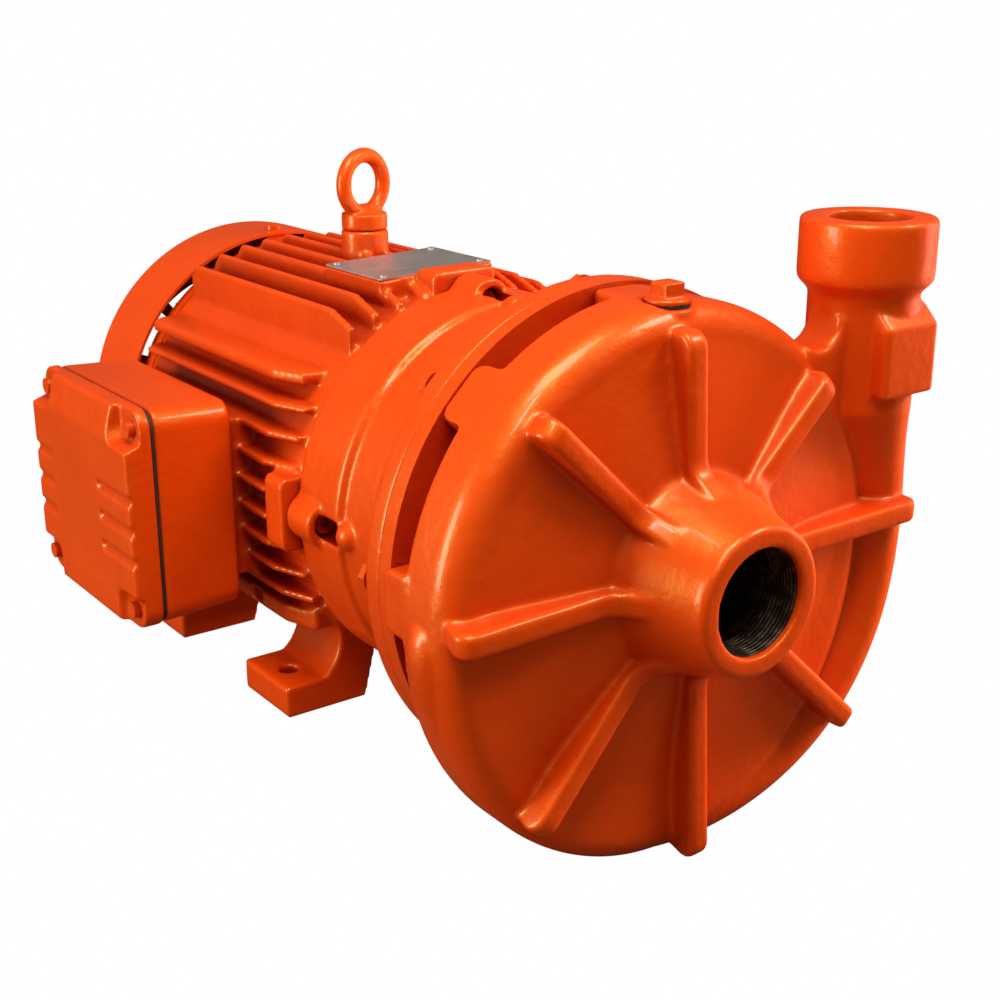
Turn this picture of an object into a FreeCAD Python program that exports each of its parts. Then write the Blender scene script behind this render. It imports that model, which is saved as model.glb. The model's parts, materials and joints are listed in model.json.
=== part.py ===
"""Fire pump: ribbed volute pump close-coupled to a finned foot-mounted motor.

Every piece is drawn in the pump's own stations: Y runs along the shaft from the
suction face, X to the right and Z up from the shaft axis. Each piece is then placed
so that the origin lies on the floor at the centre of the four foot holes.
"""
import FreeCAD, Part

import math
import os
import re

import Sketcher

V = FreeCAD.Vector
SHAFT_LINE = V(0, 1, 0)

SIZES = {
    "Setting and clearances": {
        "shaft_height": 132, "suction_to_feet": 358, "fit": 0.05, "running_gap": 0.4,
    },
    "Volute casing": {
        "suction_rim_radius": 37.5, "suction_chamfer": 2.5, "suction_boss_radius": 40,
        "suction_bore_radius": 28.5, "suction_thread_depth": 26, "throat_radius": 26.5,
        "boss_start": 5, "boss_end": 50, "boss_end_radius": 54,
        "dome_crown": 57.5, "dome_crown_radius": 100, "dome_rim": 60, "rim_rounding": 16,
        "dome_edge_radius": 120, "dome_blend": 80, "cast_fillet": 5, "casing_radius": 138.5,
        "casing_depth": 98, "casing_wall": 7, "chamber_radius": 124, "register_radius": 125,
        "register_depth": 8, "discharge_plane": 76, "scroll_wall": 8,
        "plate_reach_0": 146, "plate_reach_45": 139.5, "plate_reach_90": 138.5,
        "plate_reach_135": 140, "plate_reach_180": 145, "plate_reach_225": 157,
        "plate_reach_270": 169.5, "plate_reach_315": 160,
        "scroll_reach_180": 142, "scroll_reach_225": 154, "scroll_reach_270": 174,
        "scroll_reach_290": 183, "scroll_reach_315": 192, "scroll_reach_340": 189.5,
        "scroll_reach_360": 184, "scroll_tube_180": 13, "scroll_tube_225": 14,
        "scroll_tube_270": 17, "scroll_tube_290": 18.5, "scroll_tube_315": 20.5,
        "scroll_tube_340": 21.5, "scroll_tube_360": 22, "scroll_station_180": 84,
        "scroll_station_225": 83.5, "scroll_station_270": 82, "scroll_station_290": 81,
        "scroll_station_315": 80, "scroll_station_340": 79, "scroll_station_360": 78,
        "neck_radius": 30.5, "neck_offset": 146, "neck_start": 62,
        "collar_radius": 37.3, "collar_bottom": 133.5, "collar_top": 167, "collar_chamfer": 7,
        "collar_rounding": 2.5,
        "discharge_bore_radius": 22.5, "discharge_thread_depth": 24,
        "discharge_throat_radius": 21.5, "neck_fillet": 15, "neck_web": 28, "web_rounding": 4,
        "label_boss_front": 41, "label_boss_width": 42, "label_boss_bottom": 72.5,
        "label_boss_top": 111, "label_boss_slope": 10, "label_offset": 2.5,
        "label_boss_rounding": 3,
    },
    "Ribs and lugs": {
        "rib_thickness": 13, "rib_front": 44, "rib_bend_radius": 58, "rib_nose_radius": 39,
        "rib_nose": 15, "rib_end_rounding": 9, "rib_end_depth": 26,
        "rib_reach_0": 175, "rib_reach_45": 133, "rib_reach_90": 131, "rib_reach_135": 138,
        "rib_reach_180": 149, "rib_reach_225": 157, "rib_reach_270": 172,
        "rib_reach_315": 180, "rib_turn_0": 0.5, "rib_turn_45": 43.6, "rib_turn_90": 93,
        "rib_turn_135": 135.5, "rib_turn_180": 181.3, "rib_turn_225": 229.5,
        "rib_turn_270": 273.5, "rib_turn_315": 316.7, "rib_edge": 2.5, "rib_end_slope": 8,
        "rib_bend_rounding": 12,
        "lug_width": 34, "lug_margin": 14, "lug_depth": 18, "lug_rounding": 7,
        "ear_rounding": 5,
        "casing_bolt_circle": 132.5, "casing_bolt_radius": 4, "casing_bolt_hole": 4.5,
        "casing_bolt_grip": 14, "lugs": 8,
    },
    "Priming plug": {
        "plug_boss_radius": 14, "plug_boss_top": 134.5, "plug_thread_radius": 8.3,
        "plug_collar_radius": 11.5, "plug_collar": 3, "plug_washer": 1.5,
        "plug_head_width": 12.5, "plug_head": 8, "plug_length": 12,
    },
    "Back cover and seal": {
        "cover_radius": 140.5, "cover_flange": 10, "cover_plate": 10,
        "cover_cup_radius": 115, "rear_register": 118, "rear_register_depth": 4,
        "o_ring_depth": 3.5, "o_ring_width": 4,
        "seal_hub_radius": 34, "seal_chamber_radius": 26, "seal_pocket_radius": 22.5,
        "seal_pocket_depth": 8, "seal_bottom": 4, "seal_bore_radius": 17.5,
        "seat_ring_wall": 2.5, "seal_seat_radius": 16.5, "seal_face": 6.5,
        "seal_face_radius": 22, "bellows_radius": 21, "bellows_neck": 17.5,
        "bellows_pitch": 1.5,
    },
    "Impeller": {
        "wear_ring_radius": 38, "wear_ring_wall": 3.5, "wear_ring_front": 53,
        "wear_ring_width": 10, "impeller_radius": 95, "eye_front": 55, "eye_wall": 3.6,
        "shroud_front": 71, "shroud_wall": 3, "outlet_width": 8, "back_shroud": 4,
        "hub_radius": 20, "hub_flare": 12, "shroud_knee": 58.9, "shroud_step": 3,
        "hub_front": 62, "hub_back": 90, "vanes": 6,
        "vane_thickness": 4, "vane_inner_radius": 33, "vane_sweep": 70,
        "nut_width": 22, "nut_height": 9, "nut_washer": 2, "nut_washer_radius": 15,
        "key_width": 6, "key_height": 6, "key_length": 20,
    },
    "Motor bracket": {
        "bracket_flange": 15, "bracket_neck_radius": 114, "neck_length": 64,
        "neck_fillet_radius": 6, "flange_rounding": 3, "ring_radius": 118,
        "ring_length": 45, "ring_rounding": 3,
        "bracket_bore_radius": 106, "end_wall_setback": 20, "end_wall": 8,
        "front_stop": 2, "wall_corner": 16, "wall_slope": 20, "register_gap": 0.5,
        "bearing_hub_radius": 56, "spigot_length": 6, "spigot_wall": 8,
        "drain_radius": 10, "drain_from_flange": 22,
        "ear_circle": 112, "ear_radius": 14, "ear_length": 26, "ears": 4,
        "ear_pocket_radius": 8.5, "ear_channel": 4, "ear_pocket_depth": 13,
        "ear_bolt_radius": 4,
        "ear_bolt_hole": 4.5, "ear_bolt_length": 42, "ear_head_radius": 6.5,
        "ear_head": 8,
    },
    "Motor frame": {
        "frame_bore_radius": 100, "frame_root_radius": 114.5, "frame_length": 218,
        "fin_pitch": 16.5, "fin_thickness": 4.5, "fin_reach": 124.5, "fin_arc_radius": 190,
        "fin_inset_front": 6, "fin_inset_back": 8, "fin_slope_length": 24,
        "fin_slope_drop": 8, "fin_back_slope": 8, "fins_top": 5, "fin_foot_least": 20,
        "fin_sink": 4,
        "fins_side": 3, "fins_bottom": 3, "shelf_thickness": 7, "shelf_height": 73.5,
        "shelf_inset": 9,
        "rail_thickness": 12, "rail_height": 76, "earth_slot_width": 13, "earth_slot_height": 7,
        "earth_slot_depth": 7, "rail_drop": 16, "earth_slot_start": 69,
        "ear_block_width": 44, "ear_block_length": 20, "ear_block_reach": 128,
        "foot_length": 55, "foot_thickness": 19.5, "foot_half_width": 124,
        "foot_inner": 69, "foot_root": 60, "foot_lean": 36, "foot_ledge": 98,
        "foot_waist": 86, "foot_waist_height": 44, "foot_top": 66, "foot_top_width": 101,
        "foot_hole_radius": 6,
        "foot_hole_spread": 216, "foot_hole_pitch": 140,
        "foot_front_overhang": 26, "foot_back_overhang": 20,
        "eye_boss_radius": 15, "eye_boss_top": 138, "eye_from_frame": 112.7,
        "eye_hole_radius": 5,
    },
    "Nameplate": {
        "plate_left": -45, "plate_width": 79, "plate_from_frame": 22, "plate_length": 63,
        "plate_height": 124, "plate_thickness": 1, "plate_tilt": 2.2, "pad_sink": 2.5,
        "plate_clearance": 12,
        "rivet_radius": 2, "rivet_pin_radius": 1.2, "rivet_inset": 5, "rivet_depth": 5,
    },
    "Terminal box": {
        "box_from_frame": 48, "box_length": 145, "box_seat": 130, "box_top": 60,
        "box_bottom": -70, "box_taper": 2, "box_depth": 48.5, "box_wall": 4,
        "box_rounding": 11, "box_screw_radius": 2.5, "lid_gasket": 1.5,
        "lid_overhang": 1, "lid_depth": 17, "lid_rounding": 12, "lid_edge_round": 2.5,
        "lid_screw_inset": 11, "lid_slope": 20, "lid_slope_drop": 5, "lid_crease": 12,
        "pocket_floor": 7, "low_pocket_floor": 12, "pocket_length": 34, "pocket_height": 27,
        "pocket_lean": 4,
        "pocket_rounding": 9, "grooves": 3, "groove_top": 9.5, "groove_pitch": 18.5,
        "groove_radius": 3.6,
        "groove_lift": 1.4, "groove_front": 46, "groove_rear": 28, "lid_wall": 5,
        "lid_rim": 16,
        "base_gasket": 1.5, "pad_margin": 14, "entry_radius": 15.3, "entry_boss_radius": 21,
        "entry_boss": 4, "entry_spacing": 56, "entry_plug_head": 6,
        "terminal_pitch": 22, "terminal_radius": 3, "terminal_height": 20,
        "terminal_block_thickness": 8, "terminal_block_length": 76,
        "terminal_block_height": 44, "terminal_nut": 5, "box_opening": 32,
        "wire_opening": 36, "corner_post_radius": 7.7, "box_screw_depth": 18,
        "entry_pad": 6, "gasket_width": 14, "lid_screw_hole": 3, "lid_screw_grip": 14,
        "lid_screw_head": 4,
    },
    "Shaft and rotor": {
        "stub_radius": 7, "stub_length": 14, "wet_shaft_radius": 12.5,
        "seal_shaft_radius": 15, "wet_step": 160, "front_journal": 20,
        "rotor_journal": 24, "rear_step_radius": 22, "rear_journal": 17.5,
        "fan_shaft_radius": 14, "fan_shaft_length": 40, "shaft_clearance": 0.8,
        "core_start": 50, "core_length": 120, "stator_bore_radius": 57.6,
        "air_gap": 0.5, "winding_length": 28, "winding_inner": 64, "winding_outer": 90,
        "cage_ring": 8, "cage_ring_inner": 36, "cage_ring_outer": 55,
        "slinger_start": 150, "slinger_width": 8, "slinger_radius": 27,
    },
    "Bearings": {
        "front_bearing_radius": 45, "front_bearing_width": 23, "front_ball_circle": 32.5,
        "front_ball_radius": 7.4, "front_balls": 8, "front_shoulder": 41,
        "rear_bearing_radius": 36, "rear_bearing_width": 17, "rear_ball_circle": 26.75,
        "rear_ball_radius": 5.45, "rear_balls": 9, "ball_gap": 0.1,
        "groove_floor": 2, "groove_side": 1.5, "land_gap_front": 5, "land_gap_rear": 3.85,
        "cage_wall": 3, "wave_washer": 2, "washer_width": 5,
        "rear_bearing_setback": 9, "rear_step_gap": 20,
    },
    "Rear end, fan and cover": {
        "shield_flange": 10, "shield_plate": 8, "shield_hub_radius": 46,
        "shield_radius": 114, "shield_screw_circle": 107,
        "shield_screw_radius": 3, "shield_screw_length": 24, "shield_tab_width": 20,
        "shield_tab_length": 18, "shield_hub_setback": 12, "shield_cap": 4,
        "shield_tab_depth": 12, "cover_screw_station": 9, "cover_screw_length": 11,
        "fan_cover_radius": 122, "fan_cover_wall": 2, "fan_cover_start": 475.5,
        "fan_cover_length": 58, "fan_cover_dome": 24, "fan_cover_shoulder": 4,
        "grille_radius": 98,
        "grille_slot": 7, "grille_bar": 7, "grille_rings": 4, "grille_spokes": 12,
        "grille_hub_radius": 34, "spoke_turn": 6, "grille_twist": 9,
        "cover_screw_radius": 2.5, "cover_screw_head": 3,
        "fan_radius": 88, "fan_hub_radius": 24, "fan_start": 490, "fan_depth": 32,
        "fan_disc": 3, "fan_disc_radius": 70.4, "blade_slope": 10, "fan_blades": 7,
        "blade_thickness": 3, "circlip": 2,
        "circlip_radius": 18, "seal_ring_radius": 22, "seal_ring_width": 4,
    },
    "Eyebolt": {
        "eye_collar_radius": 14.5, "eye_collar": 10, "eye_turn": 15, "eye_ring_radius": 17.75,
        "eye_ring_section": 4.75, "eye_ring_lift": 28, "eye_shank": 16,
    },
}

document = FreeCAD.newDocument("FirePump")
sheet = document.addObject("Spreadsheet::Sheet", "Sizes")
row = 1
for heading, entries in SIZES.items():
    sheet.set(f"A{row}", heading)
    row += 1
    for name, value in entries.items():
        sheet.set(f"A{row}", name)
        sheet.set(f"B{row}", str(value))
        sheet.setAlias(f"B{row}", name)
        row += 1
document.recompute()

# Stations along the shaft, each one the sum of the lengths in front of it
CHAMBER_BACK = "casing_depth - register_depth"
RIM_FRONT = "casing_depth + lug_depth"
SEAM = RIM_FRONT + " + cover_flange"
RIM_BACK = SEAM + " + bracket_flange"
RING_FRONT = RIM_BACK + " + neck_length"
FRAME_FRONT = RING_FRONT + " + ring_length"
FRAME_BACK = FRAME_FRONT + " + frame_length"
SHIELD_BACK = FRAME_BACK + " + shield_flange"
END_WALL = FRAME_FRONT + " - end_wall_setback"
FRONT_BEARING = FRAME_FRONT + " - end_wall_setback - running_gap"
PLATE_BACK = CHAMBER_BACK + " + cover_plate"
SEAL_POCKET = RIM_FRONT + " - seal_bottom - seal_pocket_depth"
CORE_START = FRAME_FRONT + " + core_start"
CORE_END = CORE_START + " + core_length"
GASKET_PLANE = "box_seat + base_gasket + box_depth"

pieces = []


def value_of(expression):
    """Value of a sum of terms such as 'rim_radius - casing_wall*2'."""
    total = 0.0
    for sign, term in re.findall(r"([+-]?)\s*([^+-]+)", expression):
        product = 1.0
        for operator, factor in re.findall(r"([*/]?)\s*([\w.]+)", term):
            number = float(factor) if factor[0].isdigit() else sheet.get(factor)
            product = product / number if operator == "/" else product * number
        total += -product if sign == "-" else product
    return total


def bound(expression):
    """The same expression, with every size read from the sheet."""
    return re.sub(r"[a-z]\w*", lambda word: "Sizes." + word.group(), expression)


def seat(piece, upward=False, along="0"):
    """Carry a finished piece from the pump's stations to the floor frame."""
    if upward:
        piece.Placement = FreeCAD.Placement(V(0, 0, 0), FreeCAD.Rotation(V(1, 0, 0), 90))
    piece.setExpression("Placement.Base.y", bound(along + " - suction_to_feet"))
    piece.setExpression("Placement.Base.z", bound("shaft_height"))
    pieces.append(piece)
    return piece


def profile_body(label, outline, rounds=()):
    """Body turned about the shaft line; the outline's points are (radius, station)."""
    body = document.addObject("PartDesign::Body", label)
    sketch = body.newObject("Sketcher::SketchObject", label + "_profile")
    plane = next(item for item in body.Origin.OriginFeatures if item.Role == "XY_Plane")
    sketch.AttachmentSupport = [(plane, "")]
    sketch.MapMode = "FlatFace"
    corners = [V(value_of(radius), value_of(station), 0) for radius, station in outline]
    count = len(corners)
    for index in range(count):
        side = Part.LineSegment(corners[index], corners[(index + 1) % count])
        sketch.addGeometry(side, False)
    for index in range(count):
        sketch.addConstraint(
            Sketcher.Constraint("Coincident", index, 2, (index + 1) % count, 1))
    for index, (radius, station) in enumerate(outline):
        bind_distance(sketch, "DistanceX", -2, index, corners[index].x, radius)
        bind_distance(sketch, "DistanceY", -1, index, corners[index].y, station)
    for corner, rounding in rounds:
        sketch.fillet(corner, 1, value_of(rounding), True, True)
        arc = max(index for index, item in enumerate(sketch.Geometry)
                  if isinstance(item, Part.ArcOfCircle))
        tie = sketch.addConstraint(
            Sketcher.Constraint("Radius", arc, value_of(rounding)))
        sketch.setExpression(f"Constraints[{tie}]", bound(rounding))
    turned = body.newObject("PartDesign::Revolution", label + "_turned")
    turned.Profile = sketch
    turned.ReferenceAxis = (sketch, ["V_Axis"])
    turned.Angle = 360
    return body


def bind_distance(sketch, kind, axis, index, value, expression):
    """Hold a line's start at a distance from the origin, or on the axis itself."""
    if value == 0:
        sketch.addConstraint(Sketcher.Constraint("PointOnObject", index, 1, axis))
        return
    tie = sketch.addConstraint(Sketcher.Constraint(kind, -1, 1, index, 1, value))
    sketch.setExpression(f"Constraints[{tie}]", bound(expression))


def turned_piece(label, outline, rounds=()):
    return seat(profile_body(label, outline, rounds))


def sleeve(label, inner, outer, start, end):
    """Plain ring between two radii and two stations."""
    outline = [(inner, start), (outer, start), (outer, end), (inner, end)]
    return turned_piece(label, outline)


def shaped(label, shape):
    """Piece whose form is worked out from the sheet by the functions below."""
    piece = document.addObject("Part::Feature", label)
    piece.Shape = shape
    return piece


def shaped_piece(label, shape):
    return seat(shaped(label, shape))


def combined_piece(label, kind, base, tool):
    """Boolean of two shapes, kept as a live feature of the document."""
    result = document.addObject("Part::" + kind, label)
    result.Base = base
    result.Tool = tool
    return seat(result)


def rod(radius, start, end, right=0.0, up=0.0):
    """Cylinder along the shaft direction."""
    return Part.makeCylinder(radius, end - start, V(right, start, up), SHAFT_LINE)


def post(radius, bottom, top, right=0.0, along=0.0):
    """Upright cylinder."""
    return Part.makeCylinder(radius, top - bottom, V(right, along, bottom), V(0, 0, 1))


def block(left, right, front, back, bottom, top):
    return Part.makeBox(right - left, back - front, top - bottom, V(left, front, bottom))


def around(shape, angle):
    """Copy turned about the shaft, counter-clockwise as seen from the suction side."""
    copy = shape.copy()
    copy.rotate(V(0, 0, 0), SHAFT_LINE, -angle)
    return copy


def spread(shape, count, first=0.0):
    return [around(shape, first + 360.0 * index / count) for index in range(count)]


def polygon_face(points):
    return Part.Face(Part.makePolygon(points + points[:1]))


def turned_shape(points):
    """Solid of revolution about the shaft from (radius, station) values."""
    face = polygon_face([V(radius, station, 0) for radius, station in points])
    return face.revolve(V(0, 0, 0), SHAFT_LINE, 360)


def socket_screw(radius, length, head_radius, head, socket):
    """Screw along the shaft, head towards the front and its seat at station 0."""
    body = rod(radius, 0, length).fuse(rod(head_radius, -head, 0))
    return body.cut(hexagon(socket, -head, -head / 2))


def hexagon(width, start, end):
    """Hexagonal prism along the shaft, across flats of the given width."""
    corner = width / math.sqrt(3)
    points = [V(corner * math.cos(math.radians(60 * index)), start,
                corner * math.sin(math.radians(60 * index))) for index in range(6)]
    return polygon_face(points).extrude(V(0, end - start, 0))


def moved(shape, right=0.0, along=0.0, up=0.0):
    copy = shape.copy()
    copy.translate(V(right, along, up))
    return copy


# Volute casing
SCROLL_ANGLES = (180, 225, 270, 290, 315, 340, 360)


def spiral_face(inset, station):
    """Flat spiral outline of the casing's body, drawn in by the given inset."""
    points = []
    for angle in range(0, 360, 45):
        reach = value_of(f"plate_reach_{angle}") - inset
        turn = math.radians(angle)
        points.append(V(reach * math.cos(turn), station, reach * math.sin(turn)))
    outline = Part.BSplineCurve()
    outline.interpolate(points, PeriodicFlag=True)
    return Part.Face(Part.Wire(outline.toShape()))


def spiral_plate():
    """Body of the casing behind the dome, with its front edge rounded over."""
    front = value_of("dome_rim")
    depth = value_of("casing_depth") - front
    body = spiral_face(0, front).extrude(V(0, depth, 0))
    edges = [edge for edge in body.Edges if edge.BoundBox.YMax < front + 1]
    return body.makeFillet(value_of("rim_rounding"), edges)


def spiral_hollow():
    """Water passage beside the impeller, one wall inside the spiral outline."""
    front = value_of("dome_rim + casing_wall")
    return spiral_face(value_of("scroll_wall"), front).extrude(
        V(0, value_of(CHAMBER_BACK) - front, 0))


def scroll_body(wall):
    """Round scroll that grows out of the spiral and runs up into the neck."""
    rings = []
    for angle in SCROLL_ANGLES:
        tube = value_of(f"scroll_tube_{angle}")
        middle = value_of(f"scroll_reach_{angle}") - tube
        turn = math.radians(angle)
        station = value_of(f"scroll_station_{angle}")
        centre = V(middle * math.cos(turn), station, middle * math.sin(turn))
        travel = V(-math.sin(turn), 0, math.cos(turn))
        rings.append(ring_wire(centre, travel, tube - wall))
    neck = V(value_of("neck_offset"), value_of("discharge_plane"), value_of("neck_start"))
    rings.append(ring_wire(neck, V(0, 0, 1), value_of("neck_radius") - wall))
    return Part.makeLoft(rings, True, False)


def ring_wire(centre, travel, radius):
    return Part.Wire(Part.Circle(centre, travel, radius).toShape())


def volute_casing():
    plane = value_of("discharge_plane")
    wall = value_of("scroll_wall")
    depth = value_of("casing_depth")
    rim = value_of("dome_rim")
    rounding = value_of("rim_rounding")
    casing = value_of("casing_radius")
    neck = value_of("neck_radius")
    axis = value_of("neck_offset")
    collar_bottom = value_of("collar_bottom")
    collar_top = value_of("collar_top")
    collar = value_of("collar_radius")
    slope = value_of("collar_chamfer")

    dome = profile_body("volute_dome", [
        ("0", "0"), ("suction_rim_radius", "0"), ("suction_boss_radius", "suction_chamfer"),
        ("suction_boss_radius", "boss_start"), ("boss_end_radius", "boss_end"),
        ("dome_crown_radius", "dome_crown"), ("dome_edge_radius", "dome_rim"),
        ("dome_edge_radius", "casing_depth"), ("0", "casing_depth"),
    ], [(4, "cast_fillet"), (5, "dome_blend")])
    document.recompute()
    pipe = post(neck, value_of("neck_start"), collar_bottom, axis, plane)
    shoulder = Part.makeCone(neck, collar, slope, V(axis, plane, collar_bottom - slope))
    rounded_collar = post(collar, collar_bottom, collar_top, axis, plane)
    rounded_collar = rounded_collar.makeFillet(value_of("collar_rounding"), [
        edge for edge in rounded_collar.Edges if len(edge.Vertexes) == 1])
    outside = [spiral_plate(), scroll_body(0), pipe, shoulder, rounded_collar,
               neck_gusset(axis - neck)]
    outside += [rib(angle) for angle in range(0, 360, 45)]
    outside += [label_boss(axis)]
    outside += [post(value_of("plug_boss_radius"), casing - rounding,
                     value_of("plug_boss_top"), 0, plane)]
    outside += [lug(angle) for angle in range(0, 360, 45)]
    solid = dome.Shape.fuse(outside)

    chamber = turned_shape([
        (0, -1), (value_of("suction_bore_radius"), -1),
        (value_of("suction_bore_radius"), value_of("suction_thread_depth")),
        (value_of("throat_radius"), value_of("suction_thread_depth") + 2),
        (value_of("wear_ring_radius - wear_ring_wall - eye_wall"),
         value_of("wear_ring_front")),
        (value_of("wear_ring_radius + fit"), value_of("wear_ring_front")),
        (value_of("wear_ring_radius + fit"), value_of("wear_ring_front + wear_ring_width")),
        (value_of("dome_crown_radius"), value_of("dome_crown + casing_wall")),
        (value_of("chamber_radius"), value_of("dome_rim + casing_wall")),
        (value_of("chamber_radius"), value_of(CHAMBER_BACK)),
        (value_of("register_radius"), value_of(CHAMBER_BACK)),
        (value_of("register_radius"), value_of(RIM_FRONT) + 1), (0, value_of(RIM_FRONT) + 1),
    ])
    thread = value_of("discharge_thread_depth")
    bolt = rod(value_of("casing_bolt_radius"), rim + rounding + 8, value_of(RIM_FRONT) + 1,
               value_of("casing_bolt_circle"))
    inside = [
        chamber, scroll_body(wall), spiral_hollow(),
        post(value_of("discharge_throat_radius"), value_of("neck_start") - 4, collar_top,
             axis, plane),
        post(value_of("discharge_bore_radius"), collar_top - thread, collar_top + 1, axis,
             plane),
        post(value_of("plug_thread_radius"), value_of("chamber_radius - plug_length"),
             casing + 10, 0, plane),
        post(value_of("plug_collar_radius") + 1, value_of("plug_boss_top"), casing + 10, 0,
             plane),
    ] + spread(bolt, round(value_of("lugs")))
    return solid.cut(inside)


def rib(angle):
    """One of the eight ribs, from the suction boss over the dome to its rounded end."""
    reach = value_of(f"rib_reach_{angle}")
    rounding = value_of("rib_end_rounding")
    front = value_of("rib_front")
    thickness = value_of("rib_thickness")
    bend = value_of("rib_bend_radius")
    nose = value_of("rib_nose")
    nose_radius = value_of("rib_nose_radius")
    inner = value_of("suction_bore_radius") + 4
    back = front + value_of("rib_end_depth")
    blade = polygon_face([
        V(reach, front, 0), V(reach - value_of("rib_end_slope"), back, 0),
        V(value_of("dome_crown_radius"), back, 0), V(inner, value_of("dome_rim") + 2, 0),
        V(inner, nose, 0), V(nose_radius, nose, 0), V(bend, front, 0),
    ]).extrude(V(0, 0, thickness))
    blade.translate(V(0, 0, -thickness / 2))
    blade = rounded_near(blade, reach, front, rounding)
    blade = rounded_near(blade, bend, front, value_of("rib_bend_rounding"))
    crest = [edge for edge in blade.Edges
             if edge.BoundBox.ZLength < thickness / 2 and edge.BoundBox.YMin < front + rounding
             and edge.BoundBox.YMax < back + 1 and edge.BoundBox.XMin > nose_radius - 0.1]
    blade = blade.makeFillet(value_of("rib_edge"), crest)
    return around(blade, value_of(f"rib_turn_{angle}"))


def rounded_near(blade, radius, station, rounding):
    """Round the edge across the blade that lies at the given radius and station."""
    edges = [edge for edge in blade.Edges if edge.BoundBox.XLength < 0.01
             and abs(edge.BoundBox.XMin - radius) < 0.1
             and abs(edge.BoundBox.YMin - station) < 0.1 and edge.BoundBox.YLength < 0.01]
    return blade.makeFillet(rounding, edges)


def lug(angle):
    """Lug behind the rim, flush with it or one margin outside its bolt."""
    depth = value_of("casing_depth")
    back = depth + value_of("lug_depth")
    outer = min(value_of(f"plate_reach_{angle}"), value_of("casing_bolt_circle + lug_margin"))
    half = value_of("lug_width") / 2
    body = block(value_of("register_radius"), outer - value_of("fit"), depth - 2, back, -half,
                 half)
    corners = [edge for edge in body.Edges
               if edge.BoundBox.XLength > 1 and edge.BoundBox.YMin > back - 0.1]
    return around(body.makeFillet(value_of("lug_rounding"), corners), angle)


def neck_gusset(left):
    """Web with a hollow fillet between the casing's top and the discharge neck."""
    radius = value_of("neck_fillet")
    casing = value_of("casing_radius")
    middle = value_of("discharge_plane")
    half = value_of("neck_web") / 2
    centre_x = left - radius
    centre_z = math.sqrt((casing + radius) ** 2 - centre_x ** 2)
    share = casing / (casing + radius)
    start = V(centre_x * share, middle - half, centre_z * share)
    end = V(left, middle - half, centre_z)
    towards = (start + end) * 0.5 - V(centre_x, middle - half, centre_z)
    towards.normalize()
    halfway = V(centre_x, middle - half, centre_z) + towards * radius
    inner = V(start.x, middle - half, start.z / 2)
    foot = V(left + radius / 2, middle - half, start.z / 2)
    top = V(left + radius / 2, middle - half, centre_z)
    edges = [Part.Arc(start, halfway, end).toShape()]
    for first, last in ((end, top), (top, foot), (foot, inner), (inner, start)):
        edges.append(Part.LineSegment(first, last).toShape())
    web = Part.Face(Part.Wire(edges)).extrude(V(0, 2 * half, 0))
    crest = [edge for edge in web.Edges if edge.Curve.TypeId == "Part::GeomCircle"]
    return web.makeFillet(value_of("web_rounding"), crest)


def label_boss(axis):
    """Square boss on the front of the discharge neck."""
    front = value_of("label_boss_front")
    back = value_of("discharge_plane")
    width = value_of("label_boss_width")
    left = axis + value_of("label_offset") - width / 2
    bottom = value_of("label_boss_bottom")
    top = value_of("label_boss_top")
    slope = value_of("label_boss_slope")
    side = polygon_face([
        V(left, front, bottom), V(left, front, top), V(left, front + slope, top + slope),
        V(left, back, top + slope), V(left, back, bottom)])
    boss = side.extrude(V(width, 0, 0))
    edges = [edge for edge in boss.Edges if edge.BoundBox.YMax < front + slope + 1
             and edge.BoundBox.XLength < 1]
    return boss.makeFillet(value_of("label_boss_rounding"), edges)


shaped_piece("volute_casing", volute_casing())


# Priming plug, its washer and the casing's fasteners
plug_top = "plug_boss_top + plug_washer"
plug_body = profile_body("priming_plug_turned", [
    ("0", plug_top + " - plug_length"),
    ("plug_thread_radius - fit", plug_top + " - plug_length"),
    ("plug_thread_radius - fit", plug_top), ("plug_collar_radius", plug_top),
    ("plug_collar_radius", plug_top + " + plug_collar"),
    ("0", plug_top + " + plug_collar"),
])
plug_head = document.addObject("Part::Box", "priming_plug_square")
plug_head.setExpression("Length", "Sizes.plug_head_width")
plug_head.setExpression("Width", "Sizes.plug_head")
plug_head.setExpression("Height", "Sizes.plug_head_width")
plug_head.setExpression("Placement.Base.x", "-Sizes.plug_head_width / 2")
plug_head.setExpression("Placement.Base.y", bound(plug_top + " + plug_collar"))
plug_head.setExpression("Placement.Base.z", "-Sizes.plug_head_width / 2")
priming_plug = document.addObject("Part::Fuse", "priming_plug")
priming_plug.Base = plug_body
priming_plug.Tool = plug_head
seat(priming_plug, upward=True, along="discharge_plane")
washer = profile_body("priming_plug_washer", [
    ("plug_thread_radius + fit", "plug_boss_top"), ("plug_collar_radius", "plug_boss_top"),
    ("plug_collar_radius", plug_top), ("plug_thread_radius + fit", plug_top)])
seat(washer, upward=True, along="discharge_plane")


def casing_bolts():
    """Hexagon screws from behind the bracket's flange into the volute's lugs."""
    seat_station = value_of(RIM_BACK)
    radius = value_of("casing_bolt_radius")
    circle = value_of("casing_bolt_circle")
    tip = value_of("casing_depth") + value_of("lug_depth") - value_of("casing_bolt_grip")
    shank = rod(radius - value_of("fit"), tip, seat_station)
    washer_shape = rod(radius * 2, seat_station, seat_station + radius / 3)
    head = hexagon(radius * 3.25, seat_station + radius / 3, seat_station + radius * 5 / 3)
    bolt = moved(shank.fuse([washer_shape, head]), circle)
    return Part.makeCompound(spread(bolt, round(value_of("lugs"))))


shaped_piece("casing_bolts", casing_bolts())

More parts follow.
